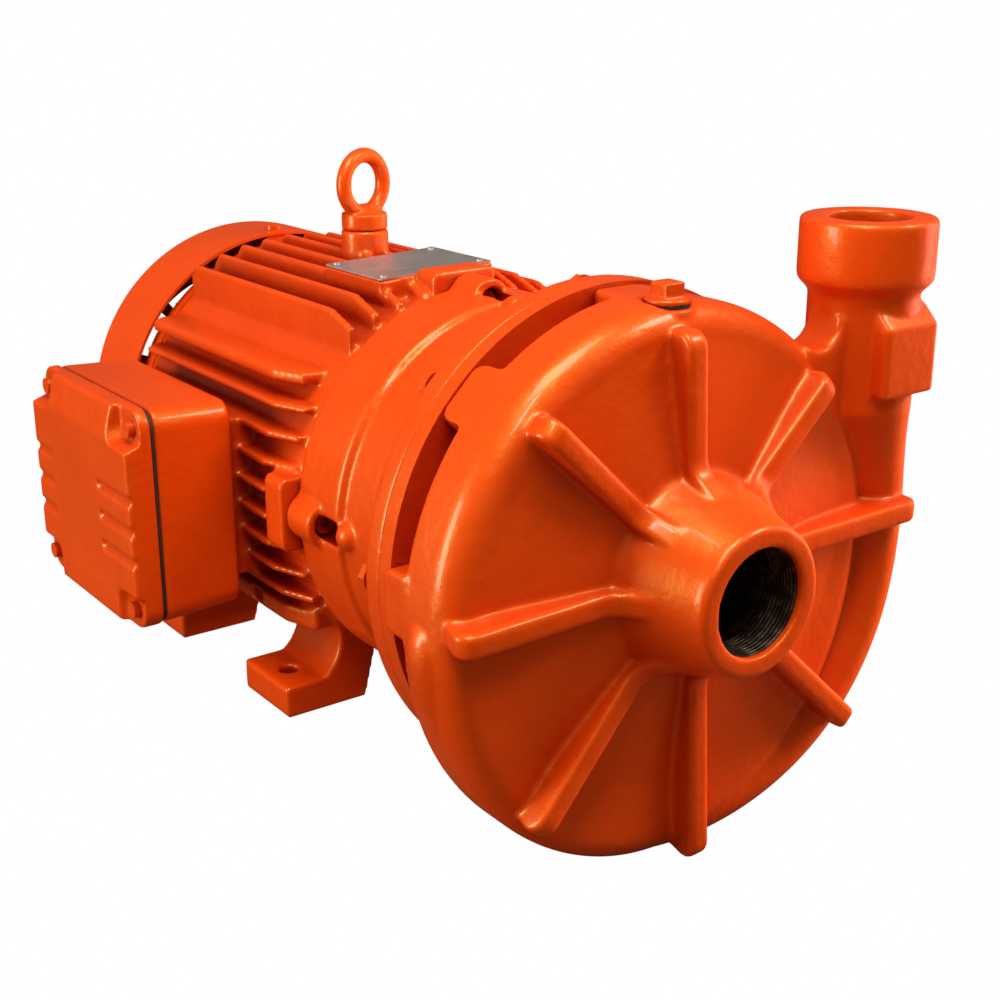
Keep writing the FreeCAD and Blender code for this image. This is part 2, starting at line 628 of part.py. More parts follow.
# Back cover with its seal seat
sleeve("casing_o_ring", "register_radius - fit - o_ring_depth", "register_radius - fit",
       CHAMBER_BACK + " + 2", CHAMBER_BACK + " + 2 + o_ring_width")
cover_blank = profile_body("back_cover_turned", [
    ("seal_chamber_radius", CHAMBER_BACK),
    ("register_radius - fit", CHAMBER_BACK),
    ("register_radius - fit", CHAMBER_BACK + " + 2"),
    ("register_radius - fit*2 - o_ring_depth", CHAMBER_BACK + " + 2"),
    ("register_radius - fit*2 - o_ring_depth", CHAMBER_BACK + " + 2 + o_ring_width"),
    ("register_radius - fit", CHAMBER_BACK + " + 2 + o_ring_width"),
    ("register_radius - fit", RIM_FRONT),
    ("cover_radius", RIM_FRONT), ("cover_radius", SEAM),
    ("rear_register", SEAM), ("rear_register", SEAM + " + rear_register_depth"),
    ("cover_cup_radius", SEAM + " + rear_register_depth"),
    ("cover_cup_radius", PLATE_BACK), ("seal_hub_radius", PLATE_BACK),
    ("seal_hub_radius", RIM_FRONT), ("seal_bore_radius", RIM_FRONT),
    ("seal_bore_radius", RIM_FRONT + " - seal_bottom"),
    ("seal_pocket_radius", RIM_FRONT + " - seal_bottom"),
    ("seal_pocket_radius", SEAL_POCKET), ("seal_chamber_radius", SEAL_POCKET),
])
holes = shaped("back_cover_holes", Part.makeCompound(spread(
    rod(value_of("casing_bolt_hole"), value_of(RIM_FRONT) - 1, value_of(SEAM) + 1,
        value_of("casing_bolt_circle")), round(value_of("lugs")))))
combined_piece("back_cover", "Cut", cover_blank, holes)

sleeve("seal_seat_ring", "seal_pocket_radius - fit - seat_ring_wall",
       "seal_pocket_radius - fit", SEAL_POCKET, SEAL_POCKET + " + seal_pocket_depth")
sleeve("seal_seat", "seal_seat_radius", "seal_pocket_radius - fit*2 - seat_ring_wall",
       SEAL_POCKET, SEAL_POCKET + " + seal_pocket_depth")
SEAL_FACE = SEAL_POCKET + " - running_gap"
sleeve("seal_head", "seal_shaft_radius + fit", "seal_face_radius",
       SEAL_FACE + " - seal_face", SEAL_FACE)
turned_piece("seal_bellows", [
    ("seal_shaft_radius + fit", "hub_back"), ("bellows_radius", "hub_back"),
    ("bellows_radius", "hub_back + bellows_pitch"),
    ("bellows_neck", "hub_back + 2*bellows_pitch"),
    ("bellows_radius", "hub_back + 3*bellows_pitch"),
    ("bellows_radius", SEAL_FACE + " - seal_face"),
    ("seal_shaft_radius + fit", SEAL_FACE + " - seal_face"),
])

# Impeller, its wear ring, key, washer and nut
sleeve("wear_ring", "wear_ring_radius - wear_ring_wall", "wear_ring_radius",
       "wear_ring_front", "wear_ring_front + wear_ring_width")


def impeller():
    """Closed impeller: two shrouds of revolution with swept vanes between them."""
    tip = value_of("impeller_radius")
    eye = value_of("wear_ring_radius - wear_ring_wall - running_gap")
    wall = value_of("shroud_wall")
    bore = value_of("wet_shaft_radius")
    hub = value_of("hub_radius")
    front = value_of("shroud_front")
    back = front + wall + value_of("outlet_width")
    rear = back + value_of("back_shroud")
    eye_inner = eye - value_of("eye_wall")
    clear = value_of("wear_ring_front + wear_ring_width + shroud_step")
    knee = value_of("shroud_knee")
    front_shroud = turned_shape([
        (eye_inner, value_of("eye_front")), (eye, value_of("eye_front")), (eye, clear),
        (knee, front - 1), (tip, front), (tip, front + wall),
        (knee, front + wall), (eye + 3, clear + wall + 1), (eye_inner, clear)])
    back_shroud = turned_shape([
        (bore, value_of("hub_front")), (hub, value_of("hub_front")), (hub + 4, back - 5),
        (hub + value_of("hub_flare"), back), (tip, back), (tip, rear), (hub, rear),
        (hub, value_of("hub_back")), (bore, value_of("hub_back"))])
    passage = turned_shape([
        (value_of("vane_inner_radius"), clear + 1), (eye + 3, clear + wall),
        (knee, front + 1), (tip - 0.3, front + 1), (tip - 0.3, back + 1),
        (value_of("vane_inner_radius"), back + 1)])
    vanes = spread(vane(clear, back + 1), round(value_of("vanes")))
    blades = Part.makeCompound(vanes).common(passage)
    body = back_shroud.fuse([front_shroud] + blades.Solids)
    return body.cut(keyway())


def vane(front, back):
    """One vane: an arc that leaves the eye and trails back to the rim."""
    inner = value_of("vane_inner_radius")
    tip = value_of("impeller_radius")
    sweep = value_of("vane_sweep")
    half = value_of("vane_thickness") / 2
    sides = []
    for offset in (-half, half):
        ends = []
        for share in (0.0, 0.5, 1.0):
            radius = inner + (tip + 1 - inner) * share
            turn = math.radians(sweep * share ** 0.7) + offset / radius
            ends.append(V(radius * math.cos(turn), front, radius * math.sin(turn)))
        sides.append(ends)
    first, second = sides
    edges = [Part.Arc(*first).toShape(), Part.LineSegment(first[2], second[2]).toShape(),
             Part.Arc(*second).toShape(), Part.LineSegment(second[0], first[0]).toShape()]
    return Part.Face(Part.Wire(edges)).extrude(V(0, back - front, 0))


def keyway(gap=0.0):
    """Feather key between shaft and impeller, half in each."""
    half = value_of("key_width") / 2 + gap
    middle = value_of("wet_shaft_radius")
    height = value_of("key_height") / 2 + gap
    end = value_of("hub_back") - 2 + gap
    return block(-half, half, end - value_of("key_length") - gap, end, middle - height,
                 middle + height)


shaped_piece("impeller", impeller())
shaped_piece("impeller_key", keyway(-value_of("fit")))
sleeve("impeller_washer", "stub_radius + fit", "nut_washer_radius", "hub_front - nut_washer",
       "hub_front")
nut_front = value_of("hub_front - nut_washer - nut_height")
nut_back = value_of("hub_front - nut_washer")
shaped_piece("impeller_nut", hexagon(value_of("nut_width"), nut_front, nut_back).cut(
    rod(value_of("stub_radius + fit"), nut_front - 1, nut_back + 1)))
sleeve("slinger", "seal_shaft_radius + fit", "slinger_radius", "slinger_start",
       "slinger_start + slinger_width")


# Motor bracket: the bell that carries the pump on the motor
def motor_bracket():
    blank = profile_body("motor_bracket_turned", [
        ("rear_register + fit", SEAM), ("cover_radius", SEAM), ("cover_radius", RIM_BACK),
        ("bracket_neck_radius", RIM_BACK), ("bracket_neck_radius", RING_FRONT),
        ("ring_radius", RING_FRONT), ("ring_radius", FRAME_FRONT),
        ("frame_bore_radius - fit", FRAME_FRONT),
        ("frame_bore_radius - fit", FRAME_FRONT + " + spigot_length"),
        ("frame_bore_radius - fit - spigot_wall", FRAME_FRONT + " + spigot_length"),
        ("frame_bore_radius - fit - spigot_wall", END_WALL),
        ("bearing_hub_radius", END_WALL), ("bearing_hub_radius", FRAME_FRONT + " + 2"),
        ("front_bearing_radius + fit", FRAME_FRONT + " + 2"),
        ("front_bearing_radius + fit", END_WALL + " - front_stop"),
        ("front_shoulder", END_WALL + " - front_stop"),
        ("front_shoulder", END_WALL + " - 2*front_stop"),
        ("front_journal + shaft_clearance", END_WALL + " - 2*front_stop"),
        ("front_journal + shaft_clearance", END_WALL + " - end_wall - front_stop"),
        ("bracket_bore_radius - wall_corner", END_WALL + " - end_wall - front_stop"),
        ("bracket_bore_radius", END_WALL + " - end_wall - wall_slope"),
        ("bracket_bore_radius", SEAM + " + rear_register_depth + register_gap"),
        ("rear_register + fit", SEAM + " + rear_register_depth + register_gap"),
    ], [(2, "flange_rounding"), (3, "neck_fillet_radius"), (5, "ring_rounding")])
    document.recompute()
    back = value_of(FRAME_FRONT)
    front = back - value_of("ear_length")
    circle = value_of("ear_circle")
    ears = round(value_of("ears"))
    ear = rod(value_of("ear_radius"), front, back, circle)
    mouth = value_of(RING_FRONT) - value_of("ear_channel")
    pocket = rod(value_of("ear_pocket_radius"), mouth,
                 front + value_of("ear_pocket_depth"), circle)
    pocket = pocket.fuse(Part.makeSphere(value_of("ear_pocket_radius"),
                                         V(circle, mouth, 0)))
    bolt_hole = rod(value_of("ear_bolt_hole"), front, back + 1, circle)
    flange_hole = rod(value_of("casing_bolt_hole"), value_of(SEAM) - 1,
                      value_of(RIM_BACK) + 1, value_of("casing_bolt_circle"))
    drain = post(value_of("drain_radius"), -value_of("cover_radius"),
                 -value_of("bracket_bore_radius") + 5, 0,
                 value_of(RIM_BACK) + value_of("drain_from_flange"))
    clear = rod(value_of("bracket_bore_radius") - 10, value_of(RIM_BACK),
                value_of(END_WALL) - value_of("end_wall") - 2)
    solid = blank.Shape.fuse([shape.cut(clear) for shape in spread(ear, ears)])
    cuts = spread(pocket, ears) + spread(bolt_hole, ears) + [drain]
    return solid.cut(cuts + spread(flange_hole, round(value_of("lugs"))))


shaped_piece("motor_bracket", motor_bracket())
ear_seat = value_of(FRAME_FRONT) - value_of("ear_length") + value_of("ear_pocket_depth")
ear_screw = moved(socket_screw(value_of("ear_bolt_radius") - value_of("fit"),
                               value_of("ear_bolt_length"), value_of("ear_head_radius"),
                               value_of("ear_head"), value_of("ear_head") * 0.75),
                  value_of("ear_circle"), ear_seat)
shaped_piece("bracket_screws", Part.makeCompound(spread(ear_screw, round(value_of("ears")))))


# Motor frame with its fins, feet and bosses
def fin(offset, thickness, start, end):
    """Upright fin at a sideways offset, with a sloped front corner and a cut back one."""
    arc = value_of("fin_arc_radius")
    tip = math.sqrt(arc ** 2 - offset ** 2) - arc + value_of("fin_reach")
    least = value_of("fin_foot_least")
    foot = math.sqrt(max(value_of("frame_root_radius") ** 2 - offset ** 2, least ** 2))
    foot -= value_of("fin_sink")
    drop = value_of("fin_slope_drop")
    side = polygon_face([
        V(offset - thickness / 2, start, foot), V(offset - thickness / 2, start, tip - drop),
        V(offset - thickness / 2, start + value_of("fin_slope_length"), tip),
        V(offset - thickness / 2, end - value_of("fin_back_slope"), tip),
        V(offset - thickness / 2, end, tip - value_of("fin_back_slope")),
        V(offset - thickness / 2, end, foot)])
    return side.extrude(V(thickness, 0, 0))


def fins(count, quarter, start, end):
    """Comb of parallel fins on both sides of the middle of one quarter of the frame."""
    pitch = value_of("fin_pitch")
    comb = []
    for index in range(count):
        for sign in (-1, 1):
            upright = fin(sign * pitch * (index + 0.5), value_of("fin_thickness"), start, end)
            comb.append(around(upright, quarter))
    return comb


def foot(side, hole, overhang):
    """Cast foot with a hollow sweep from its ledge up to the frame."""
    start = hole - overhang
    floor = -value_of("shaft_height")
    ledge = floor + value_of("foot_thickness")
    waist = ledge + value_of("foot_waist_height") / 2
    top = -value_of("foot_top")
    outer = value_of("foot_half_width")
    points = [V(outer, start, floor), V(outer, start, ledge),
              V(value_of("foot_ledge"), start, ledge), V(value_of("foot_waist"), start, waist),
              V(value_of("foot_top_width"), start, top), V(value_of("foot_root"), start, top),
              V(value_of("foot_root"), start, floor + value_of("foot_lean")),
              V(value_of("foot_inner"), start, floor)]
    edges = [Part.LineSegment(points[0], points[1]).toShape(),
             Part.LineSegment(points[1], points[2]).toShape(),
             Part.Arc(points[2], points[3], points[4]).toShape()]
    edges += [Part.LineSegment(points[index], points[(index + 1) % 8]).toShape()
              for index in range(4, 8)]
    body = Part.Face(Part.Wire(edges)).extrude(V(0, value_of("foot_length"), 0))
    drill = post(value_of("foot_hole_radius"), floor - 1, ledge + 20,
                 value_of("foot_hole_spread") / 2, hole)
    body = body.cut(drill)
    return body if side > 0 else body.mirror(V(0, 0, 0), V(1, 0, 0))


def motor_frame():
    start = value_of(FRAME_FRONT)
    end = value_of(FRAME_BACK)
    root = value_of("frame_root_radius")
    bore = value_of("frame_bore_radius")
    front = start + value_of("fin_inset_front")
    back = end - value_of("fin_inset_back")
    shell = rod(root, start, end)
    comb = fins(round(value_of("fins_top")), 0, front, back)
    comb += fins(round(value_of("fins_bottom")), 180, front, back)
    for quarter in (90, 270):
        comb += fins(round(value_of("fins_side")) + 1, quarter, front, back)
        low = -1 if quarter == 90 else 1
        shelf = fin(-low * value_of("shelf_height"), value_of("shelf_thickness"),
                    front + value_of("shelf_inset"), back)
        rail = fin(low * value_of("rail_height"), value_of("rail_thickness"),
                   front + value_of("shelf_inset"), back)
        comb += [around(shelf, quarter), around(rail, quarter)]
    reach = value_of("ear_block_reach")
    width = value_of("ear_block_width")
    ear = rounded_block(root - 12, reach, width, start, start + value_of("ear_block_length"))
    comb += spread(ear, round(value_of("ears")))
    half_pitch = value_of("foot_hole_pitch") / 2
    middle = value_of("suction_to_feet")
    for side in (-1, 1):
        comb.append(foot(side, middle - half_pitch, value_of("foot_front_overhang")))
        comb.append(foot(side, middle + half_pitch, value_of("foot_back_overhang")))
    eye_station = start + value_of("eye_from_frame")
    comb.append(post(value_of("eye_boss_radius"), root - 10, value_of("eye_boss_top"), 0,
                     eye_station))
    comb.append(plate_pad())
    comb.append(terminal_pad())
    solid = shell.fuse(comb)
    ear_hole = rod(value_of("ear_bolt_radius"), start - 1,
                   start + value_of("ear_bolt_length"), value_of("ear_circle"))
    shield_hole = rod(value_of("shield_screw_radius"),
                      end - value_of("shield_screw_length"), end + 1,
                      value_of("shield_screw_circle"))
    half = value_of("wire_opening") / 2
    wiring = block(-value_of("box_seat") - 1, -bore + 8, value_of(BOX_MIDDLE) - half,
                   value_of(BOX_MIDDLE) + half, -half, half)
    slot_front = start + value_of("earth_slot_start")
    slot_middle = -value_of("rail_height")
    rail_edge = value_of("fin_reach") - value_of("earth_slot_depth") - value_of("rail_drop")
    slot_half = value_of("earth_slot_height") / 2
    earth_slot = block(-value_of("fin_reach"), -rail_edge, slot_front,
                       slot_front + value_of("earth_slot_width"), slot_middle - slot_half,
                       slot_middle + slot_half)
    cuts = [rod(bore, start - 1, end + 1), wiring, earth_slot,
            post(value_of("eye_hole_radius"), root - 5, value_of("eye_boss_top") + 1, 0,
                 eye_station)]
    cuts += spread(ear_hole, round(value_of("ears")))
    cuts += spread(shield_hole, 4, 45)
    cuts += plate_rivet_holes() + [plate_block(0, value_of("plate_clearance"), -1)]
    return solid.cut(cuts)


def rounded_block(inner, outer, width, front, back):
    """Block of the given width, with its two outer corners rounded."""
    body = block(inner, outer, front, back, -width / 2, width / 2)
    corners = [edge for edge in body.Edges
               if edge.BoundBox.YLength > 1 and edge.BoundBox.XMin > outer - 1]
    return body.makeFillet(value_of("ear_rounding"), corners)


BOX_MIDDLE = FRAME_FRONT + " + box_from_frame + box_length/2"


def terminal_pad():
    """Flat seat of the terminal box on the side of the frame."""
    margin = value_of("pad_margin")
    taper = value_of("box_taper")
    front = value_of(FRAME_FRONT) + value_of("box_from_frame") + margin
    length = value_of("box_length") - 2 * margin
    return block(-value_of("box_seat"), -value_of("frame_bore_radius") - 5, front,
                 front + length, value_of("box_bottom") + taper + margin,
                 value_of("box_top") - taper - margin)


def tilted(shape, right, along, up):
    """Turn a piece of the nameplate's seat to the plate's slight slope."""
    copy = shape.copy()
    copy.rotate(V(right, along, up), SHAFT_LINE, -value_of("plate_tilt"))
    return copy


def plate_block(bottom, top, shrink=0.0):
    left = value_of("plate_left") + shrink
    right = value_of("plate_left") + value_of("plate_width") - shrink
    front = value_of(FRAME_FRONT) + value_of("plate_from_frame") + shrink
    back = front + value_of("plate_length") - 2 * shrink
    height = value_of("plate_height")
    shape = block(left, right, front, back, height + bottom, height + top)
    return tilted(shape, (left + right) / 2, front, height)


def plate_pad():
    """Pad that rises out of the frame's root and carries the plate."""
    return plate_block(value_of("frame_root_radius - pad_sink - plate_height"), 0, -1)


def plate_rivets(radius, bottom, top):
    inset = value_of("rivet_inset")
    left = value_of("plate_left") + inset
    right = value_of("plate_left") + value_of("plate_width") - inset
    front = value_of(FRAME_FRONT) + value_of("plate_from_frame") + inset
    back = front + value_of("plate_length") - 2 * inset
    height = value_of("plate_height")
    rods = [post(radius, height + bottom, height + top, x, y)
            for x in (left, right) for y in (front, back)]
    return [tilted(shape, (left + right) / 2, front - inset, height) for shape in rods]


def plate_rivet_holes():
    radius = value_of("rivet_pin_radius")
    return plate_rivets(radius, -value_of("rivet_depth"), 1)


shaped_piece("motor_frame", motor_frame())
plate_thickness = value_of("plate_thickness")
plate_holes = plate_rivets(value_of("rivet_pin_radius"), -1, plate_thickness + 1)
shaped_piece("nameplate", plate_block(0, plate_thickness).cut(plate_holes))
rivet_heads = plate_rivets(value_of("rivet_radius"), plate_thickness, plate_thickness + 1)
rivet_pins = plate_rivets(value_of("rivet_pin_radius") - value_of("fit"),
                          -value_of("rivet_depth"), plate_thickness)
shaped_piece("nameplate_rivets", Part.makeCompound(
    [head.fuse(pin) for head, pin in zip(rivet_heads, rivet_pins)]))


# Lifting eye
def eyebolt():
    station = value_of(FRAME_FRONT) + value_of("eye_from_frame")
    seat_height = value_of("eye_boss_top")
    collar = post(value_of("eye_collar_radius"), seat_height,
                  seat_height + value_of("eye_collar"), 0, station)
    shank = post(value_of("eye_hole_radius") - value_of("fit"),
                 seat_height - value_of("eye_shank"), seat_height + 1, 0, station)
    section = value_of("eye_ring_section")
    centre = V(0, station, seat_height + value_of("eye_ring_lift"))
    ring = Part.makeTorus(value_of("eye_ring_radius"), section, centre, SHAFT_LINE)
    neck = Part.makeCone(value_of("eye_collar_radius") * 0.8, section * 1.1,
                         value_of("eye_ring_lift") - value_of("eye_ring_radius")
                         - value_of("eye_collar") + section,
                         V(0, station, seat_height + value_of("eye_collar")))
    eye = rod(value_of("eye_ring_radius") - section, station - 20, station + 20, 0,
              centre.z)
    head = neck.cut(eye).fuse(ring)
    head.rotate(V(0, station, 0), V(0, 0, 1), value_of("eye_turn"))
    return collar.fuse([shank, head])


shaped_piece("eyebolt", eyebolt())


# Terminal box on the side of the frame
def slab(plane, depth, front, length, bottom, top, rounding):
    """Rounded rectangle standing on its edge, grown away from the motor by its depth."""
    body = block(-plane - depth, -plane, front, front + length, bottom, top)
    corners = [edge for edge in body.Edges
               if edge.BoundBox.XLength > depth / 2 and edge.Length < depth * 1.01]
    return body.makeFillet(rounding, corners)


def rounded_outline(plane, front, length, bottom, top, rounding):
    face = slab(plane, 1, front, length, bottom, top, rounding)
    outer = max(face.Faces, key=lambda item: item.CenterOfMass.x)
    return outer.OuterWire


def terminal_box():
    """Tapered housing open towards its cover, with two cable entries below."""
    start = value_of("box_seat + base_gasket")
    plane = value_of(GASKET_PLANE)
    taper = value_of("box_taper")
    wall = value_of("box_wall")
    front = value_of(FRAME_FRONT) + value_of("box_from_frame")
    length = value_of("box_length")
    bottom = value_of("box_bottom")
    top = value_of("box_top")
    rounding = value_of("box_rounding")
    body = tapered(start, plane, front, length, bottom, top, rounding, taper)
    hollow = tapered(start + wall, plane + 1, front + wall, length - 2 * wall, bottom + wall,
                     top - wall, rounding - wall, taper)
    middle = front + length / 2
    half = value_of("box_opening") / 2
    doorway = block(-plane, -start + 1, middle - half, middle + half, -half, half)
    corner_posts = []
    post_holes = []
    inset = value_of("lid_screw_inset")
    for y in (front + inset, front + length - inset):
        for z in (bottom + inset, top - inset):
            corner_posts.append(Part.makeCylinder(value_of("corner_post_radius"),
                                                  plane - start, V(-plane, y, z),
                                                  V(1, 0, 0)))
            post_holes.append(Part.makeCylinder(value_of("box_screw_radius"),
                                                value_of("box_screw_depth"),
                                                V(-plane - 1, y, z), V(1, 0, 0)))
    pads = []
    entries = []
    for y in entry_stations():
        pads.append(entry_cylinder(value_of("entry_boss_radius"), y,
                                   wall + value_of("entry_pad"), -wall - 2))
        entries.append(entry_cylinder(value_of("entry_radius"), y, wall + 20, -wall - 9))
    posts = [item.common(body) for item in corner_posts]
    shell = body.cut([hollow, doorway]).fuse(posts + pads)
    return shell.cut(post_holes + entries)


def entry_stations():
    middle = value_of(BOX_MIDDLE)
    half = value_of("entry_spacing") / 2
    return middle - half, middle + half


def entry_cylinder(radius, station, above, below):
    """Cylinder through the underside of the box, measured from its outer wall."""
    floor = value_of("box_bottom")
    across = (value_of(GASKET_PLANE) + value_of("box_seat")) / 2
    return post(radius, floor + below, floor + above, -across, station)


def tapered(start, plane, front, length, bottom, top, rounding, taper):
    near = rounded_outline(start, front + taper, length - 2 * taper, bottom + taper,
                           top - taper, rounding)
    far = rounded_outline(plane, front, length, bottom, top, rounding)
    return Part.makeLoft([near, far], True, True)


shaped_piece("terminal_box", terminal_box())
box_front = value_of(FRAME_FRONT) + value_of("box_from_frame")
box_length = value_of("box_length")
base_margin = value_of("pad_margin") + value_of("box_taper")
base_ring = slab(value_of("box_seat"), value_of("base_gasket"), box_front + base_margin,
                 box_length - 2 * base_margin, value_of("box_bottom") + base_margin,
                 value_of("box_top") - base_margin, value_of("base_gasket"))
wire_half = value_of("wire_opening") / 2
base_opening = block(-value_of("box_seat") - 5, -value_of("box_seat") + 5,
                     box_front + box_length / 2 - wire_half,
                     box_front + box_length / 2 + wire_half, -wire_half, wire_half)
shaped_piece("terminal_box_gasket", base_ring.cut(base_opening))
lid_plane = value_of(GASKET_PLANE)
gasket = slab(lid_plane, value_of("lid_gasket"), box_front + 1, box_length - 2,
              value_of("box_bottom") + 1, value_of("box_top") - 1, value_of("box_rounding"))
seal_width = value_of("gasket_width")
gasket_hole = slab(lid_plane - 1, value_of("lid_gasket") + 2, box_front + seal_width,
                   box_length - 2 * seal_width, value_of("box_bottom") + seal_width,
                   value_of("box_top") - seal_width,
                   value_of("box_rounding"))


def lid_corners():
    inset = value_of("lid_screw_inset")
    front = box_front + inset
    back = box_front + box_length - inset
    bottom = value_of("box_bottom") + inset
    top = value_of("box_top") - inset
    return [(y, z) for y in (front, back) for z in (bottom, top)]


def across_rod(radius, near, far, station, up):
    """Cylinder pointing away from the motor, between two distances from the shaft."""
    return Part.makeCylinder(radius, far - near, V(-near, station, up), V(-1, 0, 0))


gasket_screw_holes = [across_rod(value_of("lid_screw_hole"), lid_plane - 1, lid_plane + 3, y, z)
                      for y, z in lid_corners()]
shaped_piece("terminal_cover_gasket", gasket.cut([gasket_hole] + gasket_screw_holes))


def lid_blank(plane, bottom, top):
    """Lid thinned towards its top end, with every outer edge rounded."""
    depth = value_of("lid_depth")
    slope = value_of("lid_slope")
    rim = plane + depth - value_of("lid_slope_drop")
    back = box_front + box_length
    outline = polygon_face([V(-plane, back, bottom), V(-plane - depth, back, bottom),
                            V(-plane - depth, back, top - slope),
                            V(-rim, back, top), V(-plane, back, top)])
    body = outline.extrude(V(0, -box_length, 0))
    creases = [edge for edge in body.Edges if edge.BoundBox.YLength > box_length / 2
               and edge.BoundBox.ZMin > 0 and edge.BoundBox.ZMax < top - 1]
    body = body.makeFillet(value_of("lid_crease"), creases)
    body = body.common(slab(plane, depth, box_front, box_length, bottom, top,
                            value_of("lid_rounding")))
    edges = [edge for edge in body.Edges if edge.BoundBox.XMax < -rim + value_of("fit")
             and edge.BoundBox.YLength < box_length - 2 * value_of("lid_rounding") - 1
             or edge.BoundBox.XMax < -rim + value_of("fit")
             and (edge.BoundBox.ZMin > top - 1 or edge.BoundBox.ZMax < bottom + 1)]
    return body.makeFillet(value_of("lid_edge_round"), edges)


def pocket_floor(z):
    return value_of("low_pocket_floor") if z < 0 else value_of("pocket_floor")


def lid_pocket(plane, y, z):
    """Leaning recess that opens one corner of the lid down to its screw's seat."""
    length = value_of("pocket_length")
    height = value_of("pocket_height")
    lean = value_of("pocket_lean")
    rounding = value_of("pocket_rounding")
    front = box_front - rounding if y < box_front + box_length / 2 else (
        box_front + box_length + rounding - length)
    bottom = value_of("box_bottom") - rounding if z < 0 else (
        value_of("box_top") + rounding - height)
    near = rounded_outline(plane + pocket_floor(z), front, length, bottom,
                           bottom + height, rounding)
    far = rounded_outline(plane + value_of("lid_depth") + 1, front - lean, length + 2 * lean,
                          bottom - lean, bottom + height + lean, rounding)
    return Part.makeLoft([near, far], True, True)


def lid_grooves(face):
    """Three shallow grooves across the lid, left off in the middle."""
    radius = value_of("groove_radius")
    centre = face + value_of("groove_lift")
    grooves = []
    for step in range(round(value_of("grooves"))):
        up = value_of("groove_top") - step * value_of("groove_pitch")
        for start, length in ((box_front - 1, value_of("groove_front") + 1),
                              (box_front + box_length - value_of("groove_rear"),
                               value_of("groove_rear") + 1)):
            grooves.append(Part.makeCylinder(radius, length, V(-centre, start, up),
                                             SHAFT_LINE))
    return grooves


def terminal_box_cover():
    """Cast lid with cross grooves and a recess for the screw in each corner."""
    plane = lid_plane + value_of("lid_gasket")
    depth = value_of("lid_depth")
    bottom = value_of("box_bottom - lid_overhang")
    top = value_of("box_top + lid_overhang")
    rim = value_of("lid_rim")
    pockets = [lid_pocket(plane, y, z) for y, z in lid_corners()]
    hollow = slab(plane - 1, depth - value_of("lid_wall"), box_front + rim,
                  box_length - 2 * rim, bottom + 2 * rim, top - 2 * rim, rim / 2)
    holes = [across_rod(value_of("lid_screw_hole"), plane - 1, plane + depth, y, z)
             for y, z in lid_corners()]
    return lid_blank(plane, bottom, top).cut(pockets + lid_grooves(plane + depth)
                                             + holes + [hollow])


shaped_piece("terminal_box_cover", terminal_box_cover())


def terminal_cover_screws():
    screws = []
    radius = value_of("box_screw_radius") - value_of("fit")
    for y, z in lid_corners():
        seat_plane = lid_plane + value_of("lid_gasket") + pocket_floor(z)
        shank = across_rod(radius, lid_plane - value_of("lid_screw_grip"), seat_plane, y, z)
        head = across_rod(radius * 2, seat_plane,
                          seat_plane + value_of("lid_screw_head"), y, z)
        screws.append(shank.fuse(head))
    return Part.makeCompound(screws)


shaped_piece("terminal_cover_screws", terminal_cover_screws())


def terminal_block():
    """Moulded block with its six studs' seats, on the floor of the box."""
    middle = value_of(BOX_MIDDLE)
    floor = value_of("box_seat + base_gasket + box_wall")
    half = value_of("terminal_block_length") / 2
    side = value_of("terminal_block_height") / 2
    thick = value_of("terminal_block_thickness")
    plate = block(-floor - thick, -floor, middle - half, middle + half, -side, side)
    return plate.cut([across_rod(value_of("terminal_radius"), floor - 1, floor + thick + 1,
                                 y, z) for y, z in terminal_points()])


def terminal_points():
    middle = value_of(BOX_MIDDLE)
    pitch = value_of("terminal_pitch")
    return [(middle + pitch * step, side * pitch / 2) for step in (-1, 0, 1)
            for side in (-1, 1)]


def terminal_studs():
    floor = value_of("box_seat + base_gasket + box_wall")
    top = floor + value_of("terminal_block_thickness")
    radius = value_of("terminal_radius") - value_of("fit")
    studs = []
    for y, z in terminal_points():
        pin = across_rod(radius, floor, top + value_of("terminal_height") / 2, y, z)
        nut = across_rod(radius * 1.8, top, top + value_of("terminal_nut"), y, z)
        studs.append(pin.fuse(nut))
    return Part.makeCompound(studs)


shaped_piece("terminal_block", terminal_block())
shaped_piece("terminal_studs", terminal_studs())
plug_station = entry_stations()[1]
entry_boss = value_of("box_wall") + 2
shaped_piece("cable_entry_plug", entry_cylinder(
    value_of("entry_radius - fit"), plug_station, 4, -entry_boss).fuse(
    entry_cylinder(value_of("entry_radius") + 3, plug_station, -entry_boss,
                   -entry_boss - value_of("entry_plug_head"))))

# Shaft, rotor and stator
SHAFT_END = SHIELD_BACK + " + fan_shaft_length"
shaft_blank = profile_body("shaft_turned", [
    ("0", "hub_front - stub_length"), ("stub_radius", "hub_front - stub_length"),
    ("stub_radius", "hub_front"), ("wet_shaft_radius - fit", "hub_front"),
    ("wet_shaft_radius - fit", "hub_back"), ("seal_shaft_radius", "hub_back"),
    ("seal_shaft_radius", "wet_step"), ("front_journal - fit", "wet_step"),
    ("front_journal - fit", FRONT_BEARING + " + front_bearing_width"),
    ("rotor_journal", FRONT_BEARING + " + front_bearing_width"),
    ("rotor_journal", CORE_END + " + rear_step_gap"),
    ("rear_step_radius", CORE_END + " + rear_step_gap"),
    ("rear_step_radius", FRAME_BACK + " - rear_bearing_setback"),
    ("rear_journal - fit", FRAME_BACK + " - rear_bearing_setback"),
    ("rear_journal - fit", SHIELD_BACK + " - 1"), ("fan_shaft_radius", SHIELD_BACK + " - 1"),
    ("fan_shaft_radius", SHAFT_END), ("0", SHAFT_END),
])
shaft_slot = shaped("shaft_keyway", keyway())
combined_piece("shaft", "Cut", shaft_blank, shaft_slot)
sleeve("rotor_core", "rotor_journal + fit", "stator_bore_radius - air_gap", CORE_START,
       CORE_END)
cage_rings = []
